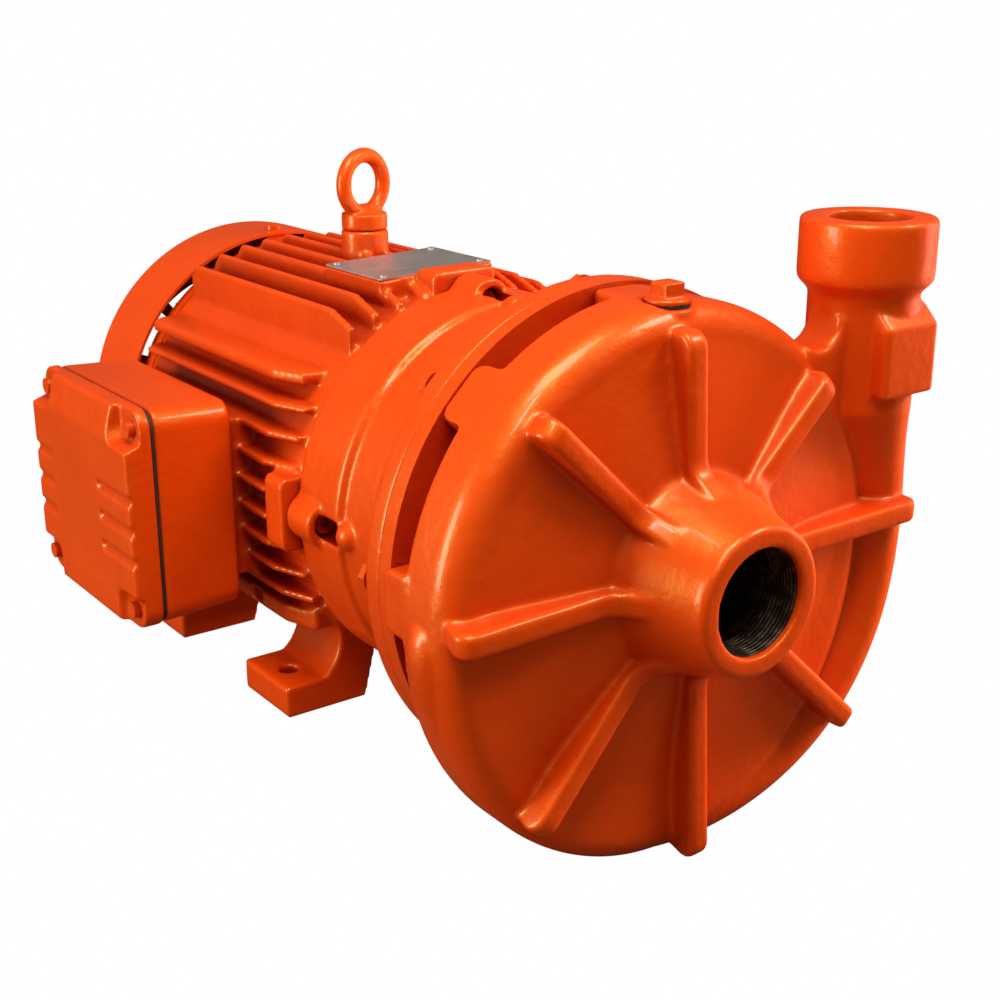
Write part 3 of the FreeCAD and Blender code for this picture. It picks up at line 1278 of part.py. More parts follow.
for ring_start in (value_of(CORE_START) - value_of("cage_ring"), value_of(CORE_END)):
    ring_end = ring_start + value_of("cage_ring")
    cage_rings.append(rod(value_of("cage_ring_outer"), ring_start, ring_end).cut(
        rod(value_of("cage_ring_inner"), ring_start - 1, ring_end + 1)))
shaped_piece("rotor_cage", Part.makeCompound(cage_rings))
sleeve("stator_core", "stator_bore_radius", "frame_bore_radius - fit", CORE_START, CORE_END)
windings = []
for ring_start in (value_of(CORE_START) - value_of("winding_length"), value_of(CORE_END)):
    ring_end = ring_start + value_of("winding_length")
    windings.append(rod(value_of("winding_outer"), ring_start, ring_end).cut(
        rod(value_of("winding_inner"), ring_start - 1, ring_end + 1)))
shaped_piece("stator_windings", Part.makeCompound(windings))


# Ball bearings
def race(end, name, radius, ring_bore, start, width, sign):
    """Bearing ring whose groove clears the balls by a small gap."""
    circle = f"{end}_ball_circle"
    ball = f"{end}_ball_radius"
    middle = f"{start} + {width}/2"
    land = f"{circle} {'+' if sign > 0 else '-'} land_gap_{end}"
    floor = f"{circle} {'+' if sign > 0 else '-'} {ball} "
    floor += "+ ball_gap" if sign > 0 else "- ball_gap"
    inner = floor if sign > 0 else ring_bore
    outline = [(ring_bore if sign < 0 else radius, start), (land, start),
               (land, f"{middle} - {ball}/groove_side*1.23"),
               (floor, f"{middle} - {ball}/groove_side/groove_floor"),
               (floor, f"{middle} + {ball}/groove_side/groove_floor"),
               (land, f"{middle} + {ball}/groove_side*1.23"), (land, f"{start} + {width}"),
               (ring_bore if sign < 0 else radius, f"{start} + {width}")]
    return turned_piece(name, outline)


def ball_set(end, start, width):
    """Balls and the cage that spaces them."""
    circle = value_of(f"{end}_ball_circle")
    ball = value_of(f"{end}_ball_radius")
    count = round(value_of(f"{end}_balls"))
    middle = value_of(start) + value_of(width) / 2
    sphere = Part.makeSphere(ball, V(circle, middle, 0))
    half_wall = value_of("cage_wall") / 2
    half = ball + 1.5
    ring = rod(circle + half_wall, middle - half, middle + half).cut(
        rod(circle - half_wall, middle - half - 1, middle + half + 1))
    pocket = Part.makeCylinder(ball + value_of("ball_gap"), circle, V(0, middle, 0),
                               V(1, 0, 0))
    pocket.translate(V(circle / 2, 0, 0))
    shaped_piece(f"{end}_bearing_balls", Part.makeCompound(spread(sphere, count)))
    shaped_piece(f"{end}_bearing_cage", ring.cut(spread(pocket, count)))


REAR_BEARING = FRAME_BACK + " - rear_bearing_setback"
race("front", "front_bearing_outer", "front_bearing_radius", "front_journal", FRONT_BEARING,
     "front_bearing_width", 1)
race("front", "front_bearing_inner", "front_bearing_radius", "front_journal", FRONT_BEARING,
     "front_bearing_width", -1)
ball_set("front", FRONT_BEARING, "front_bearing_width")
race("rear", "rear_bearing_outer", "rear_bearing_radius", "rear_journal", REAR_BEARING,
     "rear_bearing_width", 1)
race("rear", "rear_bearing_inner", "rear_bearing_radius", "rear_journal", REAR_BEARING,
     "rear_bearing_width", -1)
ball_set("rear", REAR_BEARING, "rear_bearing_width")
WASHER_START = REAR_BEARING + " + rear_bearing_width"
sleeve("wave_washer", "rear_bearing_radius - washer_width", "rear_bearing_radius - 0.5",
       WASHER_START,
       WASHER_START + " + wave_washer")


# Rear end shield, fan and fan cover
def rear_end_shield():
    blank = profile_body("rear_end_shield_turned", [
        ("rear_bearing_radius + fit", FRAME_BACK + " - shield_hub_setback"),
        ("shield_hub_radius", FRAME_BACK + " - shield_hub_setback"),
        ("shield_hub_radius", SHIELD_BACK + " - shield_plate"),
        ("frame_bore_radius - fit - spigot_wall", SHIELD_BACK + " - shield_plate"),
        ("frame_bore_radius - fit - spigot_wall", FRAME_BACK + " - spigot_length"),
        ("frame_bore_radius - fit", FRAME_BACK + " - spigot_length"),
        ("frame_bore_radius - fit", FRAME_BACK), ("shield_radius", FRAME_BACK),
        ("shield_radius", SHIELD_BACK), ("shield_hub_radius", SHIELD_BACK),
        ("shield_hub_radius", WASHER_START + " + wave_washer + shield_cap"),
        ("fan_shaft_radius + shaft_clearance", WASHER_START + " + wave_washer + shield_cap"),
        ("fan_shaft_radius + shaft_clearance", WASHER_START + " + wave_washer"),
        ("rear_bearing_radius + fit", WASHER_START + " + wave_washer"),
    ])
    document.recompute()
    back = value_of(SHIELD_BACK)
    half = value_of("shield_tab_width") / 2
    inner_wall = value_of("fan_cover_radius - fan_cover_wall - fit")
    tab = block(value_of("shield_radius - shield_tab_depth"), inner_wall, back - 1,
                back - 1 + value_of("shield_tab_length"), -half, half)
    tab = tab.common(rod(inner_wall, back - 2, back + value_of("shield_tab_length")))
    screw = value_of("cover_screw_length")
    screw_hole = Part.makeCylinder(
        value_of("cover_screw_radius"), screw + 1,
        V(inner_wall - screw, back + value_of("cover_screw_station"), 0), V(1, 0, 0))
    fixing = rod(value_of("shield_screw_radius") + 0.3, value_of(FRAME_BACK) - 1, back + 1,
                 value_of("shield_screw_circle"))
    solid = blank.Shape.fuse(spread(tab, 4))
    return solid.cut(spread(screw_hole, 4) + spread(fixing, 4, 45))


shaped_piece("rear_end_shield", rear_end_shield())
shield_screw = rod(value_of("shield_screw_radius - fit"),
                   value_of(FRAME_BACK) - value_of("shield_screw_length") + 2,
                   value_of(SHIELD_BACK))
shield_head = hexagon(value_of("shield_screw_radius") * 3.3, value_of(SHIELD_BACK),
                      value_of(SHIELD_BACK) + value_of("shield_screw_radius") * 1.3)
shaped_piece("rear_shield_screws", Part.makeCompound(spread(
    moved(shield_screw.fuse(shield_head), value_of("shield_screw_circle")), 4, 45)))
SEAL_RING = WASHER_START + " + wave_washer + shield_cap + running_gap"
sleeve("rear_seal_ring", "fan_shaft_radius + fit", "seal_ring_radius", SEAL_RING,
       SEAL_RING + " + seal_ring_width")


def fan():
    """Radial-bladed fan that works in both directions of rotation."""
    start = value_of("fan_start")
    depth = value_of("fan_depth")
    radius = value_of("fan_radius")
    hub = value_of("fan_hub_radius")
    disc = rod(value_of("fan_disc_radius"), start, start + value_of("fan_disc"))
    half = value_of("blade_thickness") / 2
    blade = polygon_face([V(hub - 2, start, -half), V(radius, start, -half),
                          V(radius, start + depth - value_of("blade_slope"), -half),
                          V(hub - 2, start + depth, -half)]).extrude(V(0, 0, 2 * half))
    body = rod(hub, start, start + depth).fuse([disc] + spread(
        blade, round(value_of("fan_blades"))))
    return body.cut(rod(value_of("fan_shaft_radius + fit"), start - 1, start + depth + 1))


shaped_piece("fan", fan())
sleeve("fan_circlip", "fan_shaft_radius + fit", "circlip_radius",
       "fan_start + fan_depth", "fan_start + fan_depth + circlip")


def fan_cover():
    """Sheet cowl with a guard of arc-shaped slots over its back."""
    start = value_of("fan_cover_start")
    rim = start + value_of("fan_cover_length")
    back = rim + value_of("fan_cover_dome")
    radius = value_of("fan_cover_radius")
    wall = value_of("fan_cover_wall")
    grille = value_of("grille_radius")
    shoulder = value_of("fan_cover_shoulder")
    shell = turned_shape([
        (radius - wall, start), (radius, start), (radius, rim),
        (radius - shoulder, rim + 2 * shoulder), (grille, back), (0, back), (0, back - wall),
        (grille - 1, back - wall), (radius - wall - shoulder, rim + 2 * shoulder - 1),
        (radius - wall, rim)])
    slots = []
    pitch = value_of("grille_slot") + value_of("grille_bar")
    spokes = round(value_of("grille_spokes"))
    for ring in range(round(value_of("grille_rings"))):
        inner = value_of("grille_hub_radius") + pitch * ring
        slots += spread(arc_slot(inner, inner + value_of("grille_slot"),
                                 360 / spokes - value_of("spoke_turn"),
                                 back - wall - 1, back + 1), spokes,
                        ring * value_of("grille_twist"))
    holes = spread(Part.makeCylinder(value_of("cover_screw_radius"), 10,
                                     V(radius - 6, value_of(
                                         SHIELD_BACK + " + cover_screw_station"), 0),
                                     V(1, 0, 0)), 4)
    return shell.cut(slots + holes)


def arc_slot(inner, outer, sweep, front, back):
    half = math.radians(sweep / 2)
    points = []
    for radius, turn in ((inner, -half), (inner, 0), (inner, half), (outer, half),
                         (outer, 0), (outer, -half)):
        points.append(V(radius * math.cos(turn), front, radius * math.sin(turn)))
    edges = [Part.Arc(*points[:3]).toShape(),
             Part.LineSegment(points[2], points[3]).toShape(),
             Part.Arc(*points[3:]).toShape(),
             Part.LineSegment(points[5], points[0]).toShape()]
    return Part.Face(Part.Wire(edges)).extrude(V(0, back - front, 0))


shaped_piece("fan_cover", fan_cover())


def fan_cover_screws():
    radius = value_of("fan_cover_radius")
    station = value_of(SHIELD_BACK + " + cover_screw_station")
    length = value_of("cover_screw_length")
    shank = Part.makeCylinder(value_of("cover_screw_radius - fit"), length,
                              V(radius - length, station, 0), V(1, 0, 0))
    head = Part.makeCylinder(value_of("cover_screw_radius") * 2,
                             value_of("cover_screw_head"), V(radius, station, 0), V(1, 0, 0))
    return Part.makeCompound(spread(shank.fuse(head), 4))


shaped_piece("fan_cover_screws", fan_cover_screws())


# Check and write every piece
document.recompute()
for item in document.Objects:
    if "Invalid" in item.State or "Error" in item.State:
        raise ValueError(f"{item.Label} did not build")
os.makedirs("parts", exist_ok=True)
for piece in pieces:
    if piece.Shape.isNull() or not piece.Shape.isValid():
        raise ValueError(f"{piece.Label} has no valid shape")
    piece.Shape.exportStep(f"parts/{piece.Label}.step")
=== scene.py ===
# %% [markdown]
# # A fire pump in orange-red enamel
# The pump is a cast volute bolted to a finned electric motor, sprayed all over in one
# glossy paint. The engineering model arrives as a fixed frame. This lesson adds what the
# frame cannot say: how a casting softens at its edges, how paint lies on it, how a
# thread is cut, and how a studio lights it.

# %% Load the frame and note its size
import json
import math

import bmesh
import bpy
from mathutils import Matrix, Vector


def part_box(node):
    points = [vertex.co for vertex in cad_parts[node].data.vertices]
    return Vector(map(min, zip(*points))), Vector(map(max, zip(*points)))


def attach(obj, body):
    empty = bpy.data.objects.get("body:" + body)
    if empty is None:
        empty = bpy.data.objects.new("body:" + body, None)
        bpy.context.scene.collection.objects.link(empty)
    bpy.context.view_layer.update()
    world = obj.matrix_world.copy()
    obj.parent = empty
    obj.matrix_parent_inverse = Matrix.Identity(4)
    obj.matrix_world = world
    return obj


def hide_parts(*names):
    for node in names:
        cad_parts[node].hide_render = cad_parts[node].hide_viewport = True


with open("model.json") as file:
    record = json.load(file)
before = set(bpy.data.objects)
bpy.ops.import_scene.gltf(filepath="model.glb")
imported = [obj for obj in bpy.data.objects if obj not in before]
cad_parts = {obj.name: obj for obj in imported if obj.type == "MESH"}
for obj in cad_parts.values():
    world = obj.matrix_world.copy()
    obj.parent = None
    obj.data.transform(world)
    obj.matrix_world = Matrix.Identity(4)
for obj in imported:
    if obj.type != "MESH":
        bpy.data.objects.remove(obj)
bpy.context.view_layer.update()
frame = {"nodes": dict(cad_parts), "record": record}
nodes = frame["nodes"]

# %% [markdown]
# ## The camera
# The photograph looks down on the suction mouth from the front left. The lens and the
# place of the camera were worked out from the round rims, whose real radii are known.
# The three axes of the camera are the columns of its turn.

# %% Camera
CAMERA_PLACE = (-0.5070, -0.8346, 0.4171)
LENS_MM = 54.75
SENSOR_MM = 36

camera_data = bpy.data.cameras.new("pump_camera")
camera_data.lens = LENS_MM
camera_data.sensor_width = SENSOR_MM
camera = bpy.data.objects.new("pump_camera", camera_data)
camera_right = Vector((0.8070, -0.5906, 0.0))
camera_back = Vector((-0.5594, -0.7644, 0.3206))
camera_up = camera_back.cross(camera_right)
turn = Matrix((camera_right, camera_up, camera_back)).transposed().to_4x4()
camera.matrix_world = Matrix.Translation(CAMERA_PLACE) @ turn
bpy.context.scene.collection.objects.link(camera)
bpy.context.scene.camera = camera
bpy.context.scene.view_settings.view_transform = "Standard"
print("camera at:", CAMERA_PLACE, "lens:", LENS_MM)

# %% [markdown]
# ## Building a material from nodes
# Every finish here is a small tree. A helper adds one node, fills in its inputs and
# returns it. An input may be a number or the output of another node, so a tree reads
# like a recipe.


# %% Node helpers
def add_node(tree, kind, settings=None, **inputs):
    """Add a node. Inputs are named by their socket, with _ for a space, or by its place.

    So Base_Color is the socket "Base Color", and i0 is the first socket.
    """
    node = tree.nodes.new(kind)
    for name, value in (settings or {}).items():
        setattr(node, name, value)
    for name, value in inputs.items():
        by_place = name[0] == "i" and name[1:].isdigit()
        socket = node.inputs[int(name[1:]) if by_place else name.replace("_", " ")]
        if isinstance(value, bpy.types.NodeSocket):
            tree.links.new(value, socket)
        else:
            socket.default_value = value
    return node


def new_material(name):
    """An empty node material with its output."""
    material = bpy.data.materials.new(name)
    material.use_nodes = True
    material.node_tree.nodes.clear()
    output = material.node_tree.nodes.new("ShaderNodeOutputMaterial")
    return material, material.node_tree, output


def colour(red, green, blue):
    """An opaque colour."""
    return (red, green, blue, 1.0)


def mix_colour(tree, factor, first, second):
    """Blend two colours by a factor and return the result's socket."""
    node = tree.nodes.new("ShaderNodeMix")
    node.data_type = "RGBA"
    for socket, value in zip((node.inputs[0], node.inputs[6], node.inputs[7]),
                             (factor, first, second)):
        if isinstance(value, bpy.types.NodeSocket):
            tree.links.new(value, socket)
        else:
            socket.default_value = value
    return node.outputs[2]


def grain(tree, scale, detail=3.0, stretch=(1, 1, 1)):
    """Noise on the object's own coordinates, stretched along an axis if asked."""
    place = tree.nodes.new("ShaderNodeTexCoord").outputs["Object"]
    mapped = add_node(tree, "ShaderNodeMapping", Vector=place, Scale=stretch)
    noise = add_node(tree, "ShaderNodeTexNoise", Vector=mapped.outputs[0], Scale=scale,
                     Detail=detail)
    return noise.outputs["Fac"]


def spread_range(tree, value, low, high, start=0.3, end=0.7):
    """Stretch a noise between two numbers."""
    return add_node(tree, "ShaderNodeMapRange", Value=value, From_Min=start, From_Max=end,
                    To_Min=low, To_Max=high).outputs[0]


# %% [markdown]
# ## Enamel on cast iron
# Sprayed enamel has a hard clear gloss over a slightly uneven casting. The paint's
# colour is one orange-red, with painted shade: ambient occlusion mixes in a deeper red
# where the casting folds in on itself, standing for the shade that falls there. Two bumps
# lie over each other: the slow swell of the sand mould and the fine orange peel of the
# spray. The gloss sits in the shader's coat.


# %% Enamel
# Painted shade: the open paint colour and a deep red for folds, mixed by ambient occlusion.
ENAMEL_BRIGHT = colour(0.78, 0.057, 0.0012)
ENAMEL_PAINTED_SHADE = colour(0.36, 0.003, 0.001)
PAINTED_SHADE_REACH = 0.035
SAND_SWELL = (110, 0.0018)
ORANGE_PEEL = (620, 0.0003)
CAST_BUMPS = (0.30, 0.35)
SHEET_BUMPS = (0.12, 0.22)


def enamel_shader(tree, swell, peel):
    """Principled shader of the paint, over a casting or over smooth sheet."""
    # Painted shade: ambient occlusion darkens the paint to a deep red in folds and corners.
    painted_shade_ao = add_node(tree, "ShaderNodeAmbientOcclusion", {"samples": 4},
                      Distance=PAINTED_SHADE_REACH)
    paint = mix_colour(tree, painted_shade_ao.outputs["AO"], ENAMEL_PAINTED_SHADE, ENAMEL_BRIGHT)
    tone = spread_range(tree, grain(tree, 14), 0.92, 1.04)
    varied = add_node(tree, "ShaderNodeHueSaturation", Color=paint, Value=tone)
    slow, fine = grain(tree, SAND_SWELL[0], 3), grain(tree, ORANGE_PEEL[0], 2)
    first = add_node(tree, "ShaderNodeBump", Height=slow, Strength=swell,
                     Distance=SAND_SWELL[1])
    second = add_node(tree, "ShaderNodeBump", Height=fine, Strength=peel,
                      Distance=ORANGE_PEEL[1], Normal=first.outputs[0])
    rough = spread_range(tree, grain(tree, 45), 0.36, 0.46)
    return add_node(tree, "ShaderNodeBsdfPrincipled", Base_Color=varied.outputs[0],
                    Roughness=rough, Normal=second.outputs[0], Specular_IOR_Level=0.9,
                    Specular_Tint=colour(1.0, 0.74, 0.12), Coat_Weight=0.30,
                    Coat_Roughness=0.11)


def enamel(name, swell, peel):
    material, tree, output = new_material(name)
    tree.links.new(enamel_shader(tree, swell, peel).outputs[0], output.inputs[0])
    return material


cast_enamel = enamel("cast_enamel", *CAST_BUMPS)
sheet_enamel = enamel("sheet_enamel", *SHEET_BUMPS)
print("paints:", cast_enamel.name, sheet_enamel.name)

# %% [markdown]
# ## Bare iron inside the two mouths
# The spray reaches a little way into each mouth and stops where the thread was cut after
# painting. The casing is one piece, so its material chooses between paint and bare iron
# by how far a point lies from a bore's axis and how deep it lies in the mouth.

# %% Casing material with bare bores
SHAFT_HEIGHT = 0.132
SUCTION_AXIS = (0.0, 0.0, SHAFT_HEIGHT)
SUCTION_REACH = 0.031
SUCTION_PAINT_END = -0.3542
DISCHARGE_X, DISCHARGE_Y = 0.146, -0.282
DISCHARGE_AXIS = (DISCHARGE_X, DISCHARGE_Y, 0.0)
DISCHARGE_REACH = 0.0245
DISCHARGE_PAINT_END = 0.2915
NECK_FLOOR = 0.2


def iron_shader(tree):
    """Dark turned iron with a film of oil and a few brighter patches."""
    patches = spread_range(tree, grain(tree, 160), 0.0, 1.0, 0.45, 0.62)
    base = mix_colour(tree, patches, colour(0.035, 0.020, 0.013), colour(0.13, 0.085, 0.055))
    bump = add_node(tree, "ShaderNodeBump", Height=grain(tree, 700), Strength=0.3,
                    Distance=0.0003)
    return add_node(tree, "ShaderNodeBsdfPrincipled", Base_Color=base, Metallic=0.75,
                    Roughness=0.42, Normal=bump.outputs[0])


def near_axis(tree, centre, across, radius):
    """1 inside a cylinder about an axis, 0 outside it."""
    place = tree.nodes.new("ShaderNodeTexCoord").outputs["Object"]
    offset = add_node(tree, "ShaderNodeVectorMath", {"operation": "SUBTRACT"}, i0=place,
                      i1=centre)
    flat = add_node(tree, "ShaderNodeVectorMath", {"operation": "MULTIPLY"},
                    i0=offset.outputs[0], i1=across)
    length = add_node(tree, "ShaderNodeVectorMath", {"operation": "LENGTH"},
                      i0=flat.outputs[0])
    return add_node(tree, "ShaderNodeMath", {"operation": "LESS_THAN"},
                    i0=length.outputs["Value"], i1=radius).outputs[0]


def arithmetic(tree, operation, first, second):
    """One step of arithmetic on two numbers."""
    return add_node(tree, "ShaderNodeMath", {"operation": operation}, i0=first,
                    i1=second).outputs[0]


def casing_material():
    material, tree, output = new_material("casing_enamel")
    place = tree.nodes.new("ShaderNodeTexCoord").outputs["Object"]
    along = add_node(tree, "ShaderNodeSeparateXYZ", Vector=place).outputs
    front_bore = near_axis(tree, SUCTION_AXIS, (1, 0, 1), SUCTION_REACH)
    front_depth = arithmetic(tree, "GREATER_THAN", along["Y"], SUCTION_PAINT_END)
    front_bare = arithmetic(tree, "MULTIPLY", front_bore, front_depth)
    top_bore = near_axis(tree, DISCHARGE_AXIS, (1, 1, 0), DISCHARGE_REACH)
    below_paint = arithmetic(tree, "LESS_THAN", along["Z"], DISCHARGE_PAINT_END)
    above_neck = arithmetic(tree, "GREATER_THAN", along["Z"], NECK_FLOOR)
    top_depth = arithmetic(tree, "MULTIPLY", below_paint, above_neck)
    top_bare = arithmetic(tree, "MULTIPLY", top_bore, top_depth)
    bare = arithmetic(tree, "MAXIMUM", front_bare, top_bare)
    blend = add_node(tree, "ShaderNodeMixShader", i0=bare,
                     i1=enamel_shader(tree, *CAST_BUMPS).outputs[0],
                     i2=iron_shader(tree).outputs[0])
    tree.links.new(blend.outputs[0], output.inputs[0])
    return material


casing_enamel = casing_material()
print("casing material nodes:", len(casing_enamel.node_tree.nodes))

# %% [markdown]
# ## The other finishes
# Rubber, gasket sheet, brushed steel, bronze and moulded plastic differ in only a few
# numbers: two tones, how metallic and how rough they are, the size of their grain and
# whether it is drawn out along an axis, as brushing does.

# %% Plain finishes
# Each line: dark tone, light tone, metallic, roughness range, grain size, bump, stretch
FINISHES = {
    "stainless": ((0.55, 0.51, 0.46), (0.78, 0.73, 0.66), 1.0, (0.42, 0.58), 60, 0.15,
                  (1, 22, 1)),
    "machined_steel": ((0.40, 0.40, 0.41), (0.56, 0.56, 0.57), 1.0, (0.22, 0.36), 220, 0.1,
                       (1, 8, 1)),
    "hardened_steel": ((0.58, 0.58, 0.60), (0.70, 0.70, 0.72), 1.0, (0.10, 0.18), 90, 0.05,
                       (1, 1, 1)),
    "lamination": ((0.16, 0.16, 0.17), (0.30, 0.30, 0.32), 0.9, (0.35, 0.5), 400, 0.3,
                   (0.1, 4, 0.1)),
    "cast_aluminium": ((0.52, 0.52, 0.53), (0.68, 0.68, 0.69), 1.0, (0.35, 0.5), 180, 0.3,
                       (1, 1, 1)),
    "bronze": ((0.40, 0.23, 0.08), (0.60, 0.40, 0.18), 1.0, (0.3, 0.45), 140, 0.3,
               (1, 1, 1)),
    "brass": ((0.66, 0.47, 0.18), (0.80, 0.62, 0.30), 1.0, (0.2, 0.32), 200, 0.1,
              (1, 1, 1)),
    "winding": ((0.20, 0.06, 0.02), (0.45, 0.17, 0.07), 0.2, (0.35, 0.55), 260, 0.6,
                (1, 1, 1)),
    "rubber": ((0.012, 0.012, 0.012), (0.03, 0.03, 0.03), 0.0, (0.55, 0.7), 300, 0.2,
               (1, 1, 1)),
    "fibre": ((0.010, 0.009, 0.008), (0.03, 0.026, 0.022), 0.0, (0.6, 0.8), 500, 0.3,
              (1, 1, 1)),
    "ceramic": ((0.78, 0.76, 0.70), (0.85, 0.83, 0.78), 0.0, (0.15, 0.25), 80, 0.05,
                (1, 1, 1)),
    "carbon": ((0.02, 0.02, 0.024), (0.05, 0.05, 0.055), 0.1, (0.3, 0.4), 200, 0.1,
               (1, 1, 1)),
    "moulded_plastic": ((0.05, 0.05, 0.055), (0.09, 0.09, 0.095), 0.0, (0.4, 0.5), 350, 0.2,
                        (1, 1, 1)),
    "fan_plastic": ((0.03, 0.03, 0.03), (0.06, 0.06, 0.06), 0.0, (0.4, 0.55), 300, 0.2,
                    (1, 1, 1)),
}


def plain_finish(name, dark, light, metallic, rough, size, bump, stretch):
    """Two tones mixed by one noise that also sets the roughness and the relief."""
    material, tree, output = new_material(name)
    pattern = grain(tree, size, 4, stretch)
    base = mix_colour(tree, pattern, colour(*dark), colour(*light))
    relief = add_node(tree, "ShaderNodeBump", Height=pattern, Strength=bump,
                      Distance=0.0004)
    shader = add_node(tree, "ShaderNodeBsdfPrincipled", Base_Color=base, Metallic=metallic,
                      Roughness=spread_range(tree, pattern, *rough),
                      Normal=relief.outputs[0])
    tree.links.new(shader.outputs[0], output.inputs[0])
    return material


finishes = {name: plain_finish(name, *values) for name, values in FINISHES.items()}
finishes["enamel"] = cast_enamel
finishes["sheet_enamel"] = sheet_enamel
slots = {item["node"]: item["material_slot"] for item in frame["record"]["subparts"]}
for name, node in nodes.items():
    node.data.materials.clear()
    node.data.materials.append(finishes[slots[name]])
nodes["volute_casing"].data.materials[0] = casing_enamel
print("finishes:", len(finishes))

# %% [markdown]
# ## Cast skins
# A drawing meets in sharp lines, but a casting never does: molten iron fills the
# corners and the sand rounds the edges. A voxel remesh turns the drawn piece into an
# even net, and a few smoothing passes pull every edge and every root of a rib into a
# small radius, inside and outside alike. A finer net with more passes gives the same
# radius with a cleaner edge, and is thinned afterwards where it is flat. The skin then
# stands for the drawn piece.


# %% Cast skins
WELD_DISTANCE = 1e-6
SOFTEN_FACTOR = 0.5
# Each line: material, net size in metres, smoothing passes, share of the faces kept
CAST_PIECES = {
    "volute_casing": (casing_enamel, 0.0012, 12, 0.30),
    "motor_bracket": (cast_enamel, 0.0013, 11, 0.40),
    "motor_frame": (cast_enamel, 0.0017, 3, 0.32),
    "terminal_box": (cast_enamel, 0.0016, 5, 1.0),
    "terminal_box_cover": (cast_enamel, 0.0012, 5, 1.0),
    "eyebolt": (cast_enamel, 0.0010, 5, 1.0),
    "priming_plug": (cast_enamel, 0.0008, 3, 1.0),
}


def cast_skin(node_name, material, voxel, passes, ratio):
    """Softened copy of a casting, riding on the same body."""
    net = bmesh.new()
    net.from_mesh(nodes[node_name].data)
    bmesh.ops.remove_doubles(net, verts=net.verts, dist=WELD_DISTANCE)
    mesh = bpy.data.meshes.new(node_name + "_cast")
    net.to_mesh(mesh)
    net.free()
    skin = bpy.data.objects.new(node_name + "_cast", mesh)
    bpy.context.scene.collection.objects.link(skin)
    remesh = skin.modifiers.new("voxels", "REMESH")
    remesh.mode = "VOXEL"
    remesh.voxel_size = voxel
    soften = skin.modifiers.new("soften", "SMOOTH")
    soften.factor = SOFTEN_FACTOR
    soften.iterations = passes
    if ratio < 1:
        thin = skin.modifiers.new("thin", "DECIMATE")
        thin.ratio = ratio
    view = bpy.context.evaluated_depsgraph_get()
    mesh = bpy.data.meshes.new_from_object(skin.evaluated_get(view))
    skin.modifiers.clear()
    skin.data = mesh
    mesh.materials.clear()
    mesh.materials.append(material)
    for face in mesh.polygons:
        face.use_smooth = True
    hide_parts(node_name)
    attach(skin, "stator_side")
    print(skin.name, "faces:", len(mesh.polygons))


for cast_piece, making in CAST_PIECES.items():
    cast_skin(cast_piece, *making)

# %% [markdown]
# ## Pipe threads
# A thread is one ridge that climbs round the bore. Geometry Nodes draw the spiral and
# sweep a small three-sided profile along it, with the pitch and depth as named inputs.


# %% Thread tree
def thread_tree():
    """Node group that sweeps a ridge along a spiral."""
    group = bpy.data.node_groups.new("pipe_thread", "GeometryNodeTree")
    face = group.interface
    face.new_socket("Geometry", in_out="OUTPUT", socket_type="NodeSocketGeometry")
    for name in ("Radius", "Length", "Turns", "Ridge"):
        face.new_socket(name, in_out="INPUT", socket_type="NodeSocketFloat")
    face.new_socket("Material", in_out="INPUT", socket_type="NodeSocketMaterial")
    given = group.nodes.new("NodeGroupInput").outputs
    spiral = add_node(group, "GeometryNodeCurveSpiral", Resolution=40,
                      Rotations=given["Turns"], Start_Radius=given["Radius"],
                      End_Radius=given["Radius"], Height=given["Length"])
    profile = add_node(group, "GeometryNodeCurvePrimitiveCircle", Resolution=4,
                       Radius=given["Ridge"])
    ridge = add_node(group, "GeometryNodeCurveToMesh", Curve=spiral.outputs[0],
                     Profile_Curve=profile.outputs[0], Fill_Caps=True)
    real = add_node(group, "GeometryNodeRealizeInstances", Geometry=ridge.outputs[0])
    painted = add_node(group, "GeometryNodeSetMaterial", Geometry=real.outputs[0],
                       Material=given["Material"])
    output = group.nodes.new("NodeGroupOutput")
    group.links.new(painted.outputs[0], output.inputs[0])
    return group


thread = thread_tree()
print("thread tree nodes:", len(thread.nodes))


def from_tree(name, group, values):
    """Plain mesh object made by a node group with the given inputs."""
    piece = bpy.data.objects.new(name, bpy.data.meshes.new(name))
    bpy.context.scene.collection.objects.link(piece)
    modifier = piece.modifiers.new(name, "NODES")
    modifier.node_group = group
    keys = {item.name: item.identifier for item in group.interface.items_tree
            if item.in_out == "INPUT"}
    for label, value in values.items():
        modifier[keys[label]] = value
    view = bpy.context.evaluated_depsgraph_get()
    mesh = bpy.data.meshes.new_from_object(piece.evaluated_get(view))
    piece.modifiers.clear()
    piece.data = mesh
    return piece


def turned_iron():
    """The bores' iron as a material of its own."""
    material, tree, output = new_material("thread_iron")
    tree.links.new(iron_shader(tree).outputs[0], output.inputs[0])
    return material


thread_iron = turned_iron()


THREAD_PITCH = 0.0023
THREAD_RIDGE = 0.0011


def pipe_thread(name, radius, length, place):
    """Thread ridge inside a mouth; place carries it from the origin to its bore."""
    piece = from_tree(name, thread, {"Radius": radius, "Length": length,
                                     "Turns": length / THREAD_PITCH,
                                     "Ridge": THREAD_RIDGE, "Material": thread_iron})
    piece.data.transform(place)
    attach(piece, "stator_side")
    print(piece.name, "faces:", len(piece.data.polygons))


SUCTION_THREAD_END, SUCTION_THREAD_RADIUS = -0.334, 0.0286
DISCHARGE_THREAD_END, DISCHARGE_THREAD_RADIUS = 0.2765, 0.0226
to_suction = Matrix.Translation((0, SUCTION_THREAD_END, SHAFT_HEIGHT))
face_forward = Matrix.Rotation(math.radians(90), 4, "X")
to_discharge = Matrix.Translation((DISCHARGE_X, DISCHARGE_Y, DISCHARGE_THREAD_END))
pipe_thread("suction_thread", SUCTION_THREAD_RADIUS,
            SUCTION_THREAD_END - SUCTION_PAINT_END, to_suction @ face_forward)
pipe_thread("discharge_thread", DISCHARGE_THREAD_RADIUS,
            DISCHARGE_PAINT_END - DISCHARGE_THREAD_END, to_discharge)

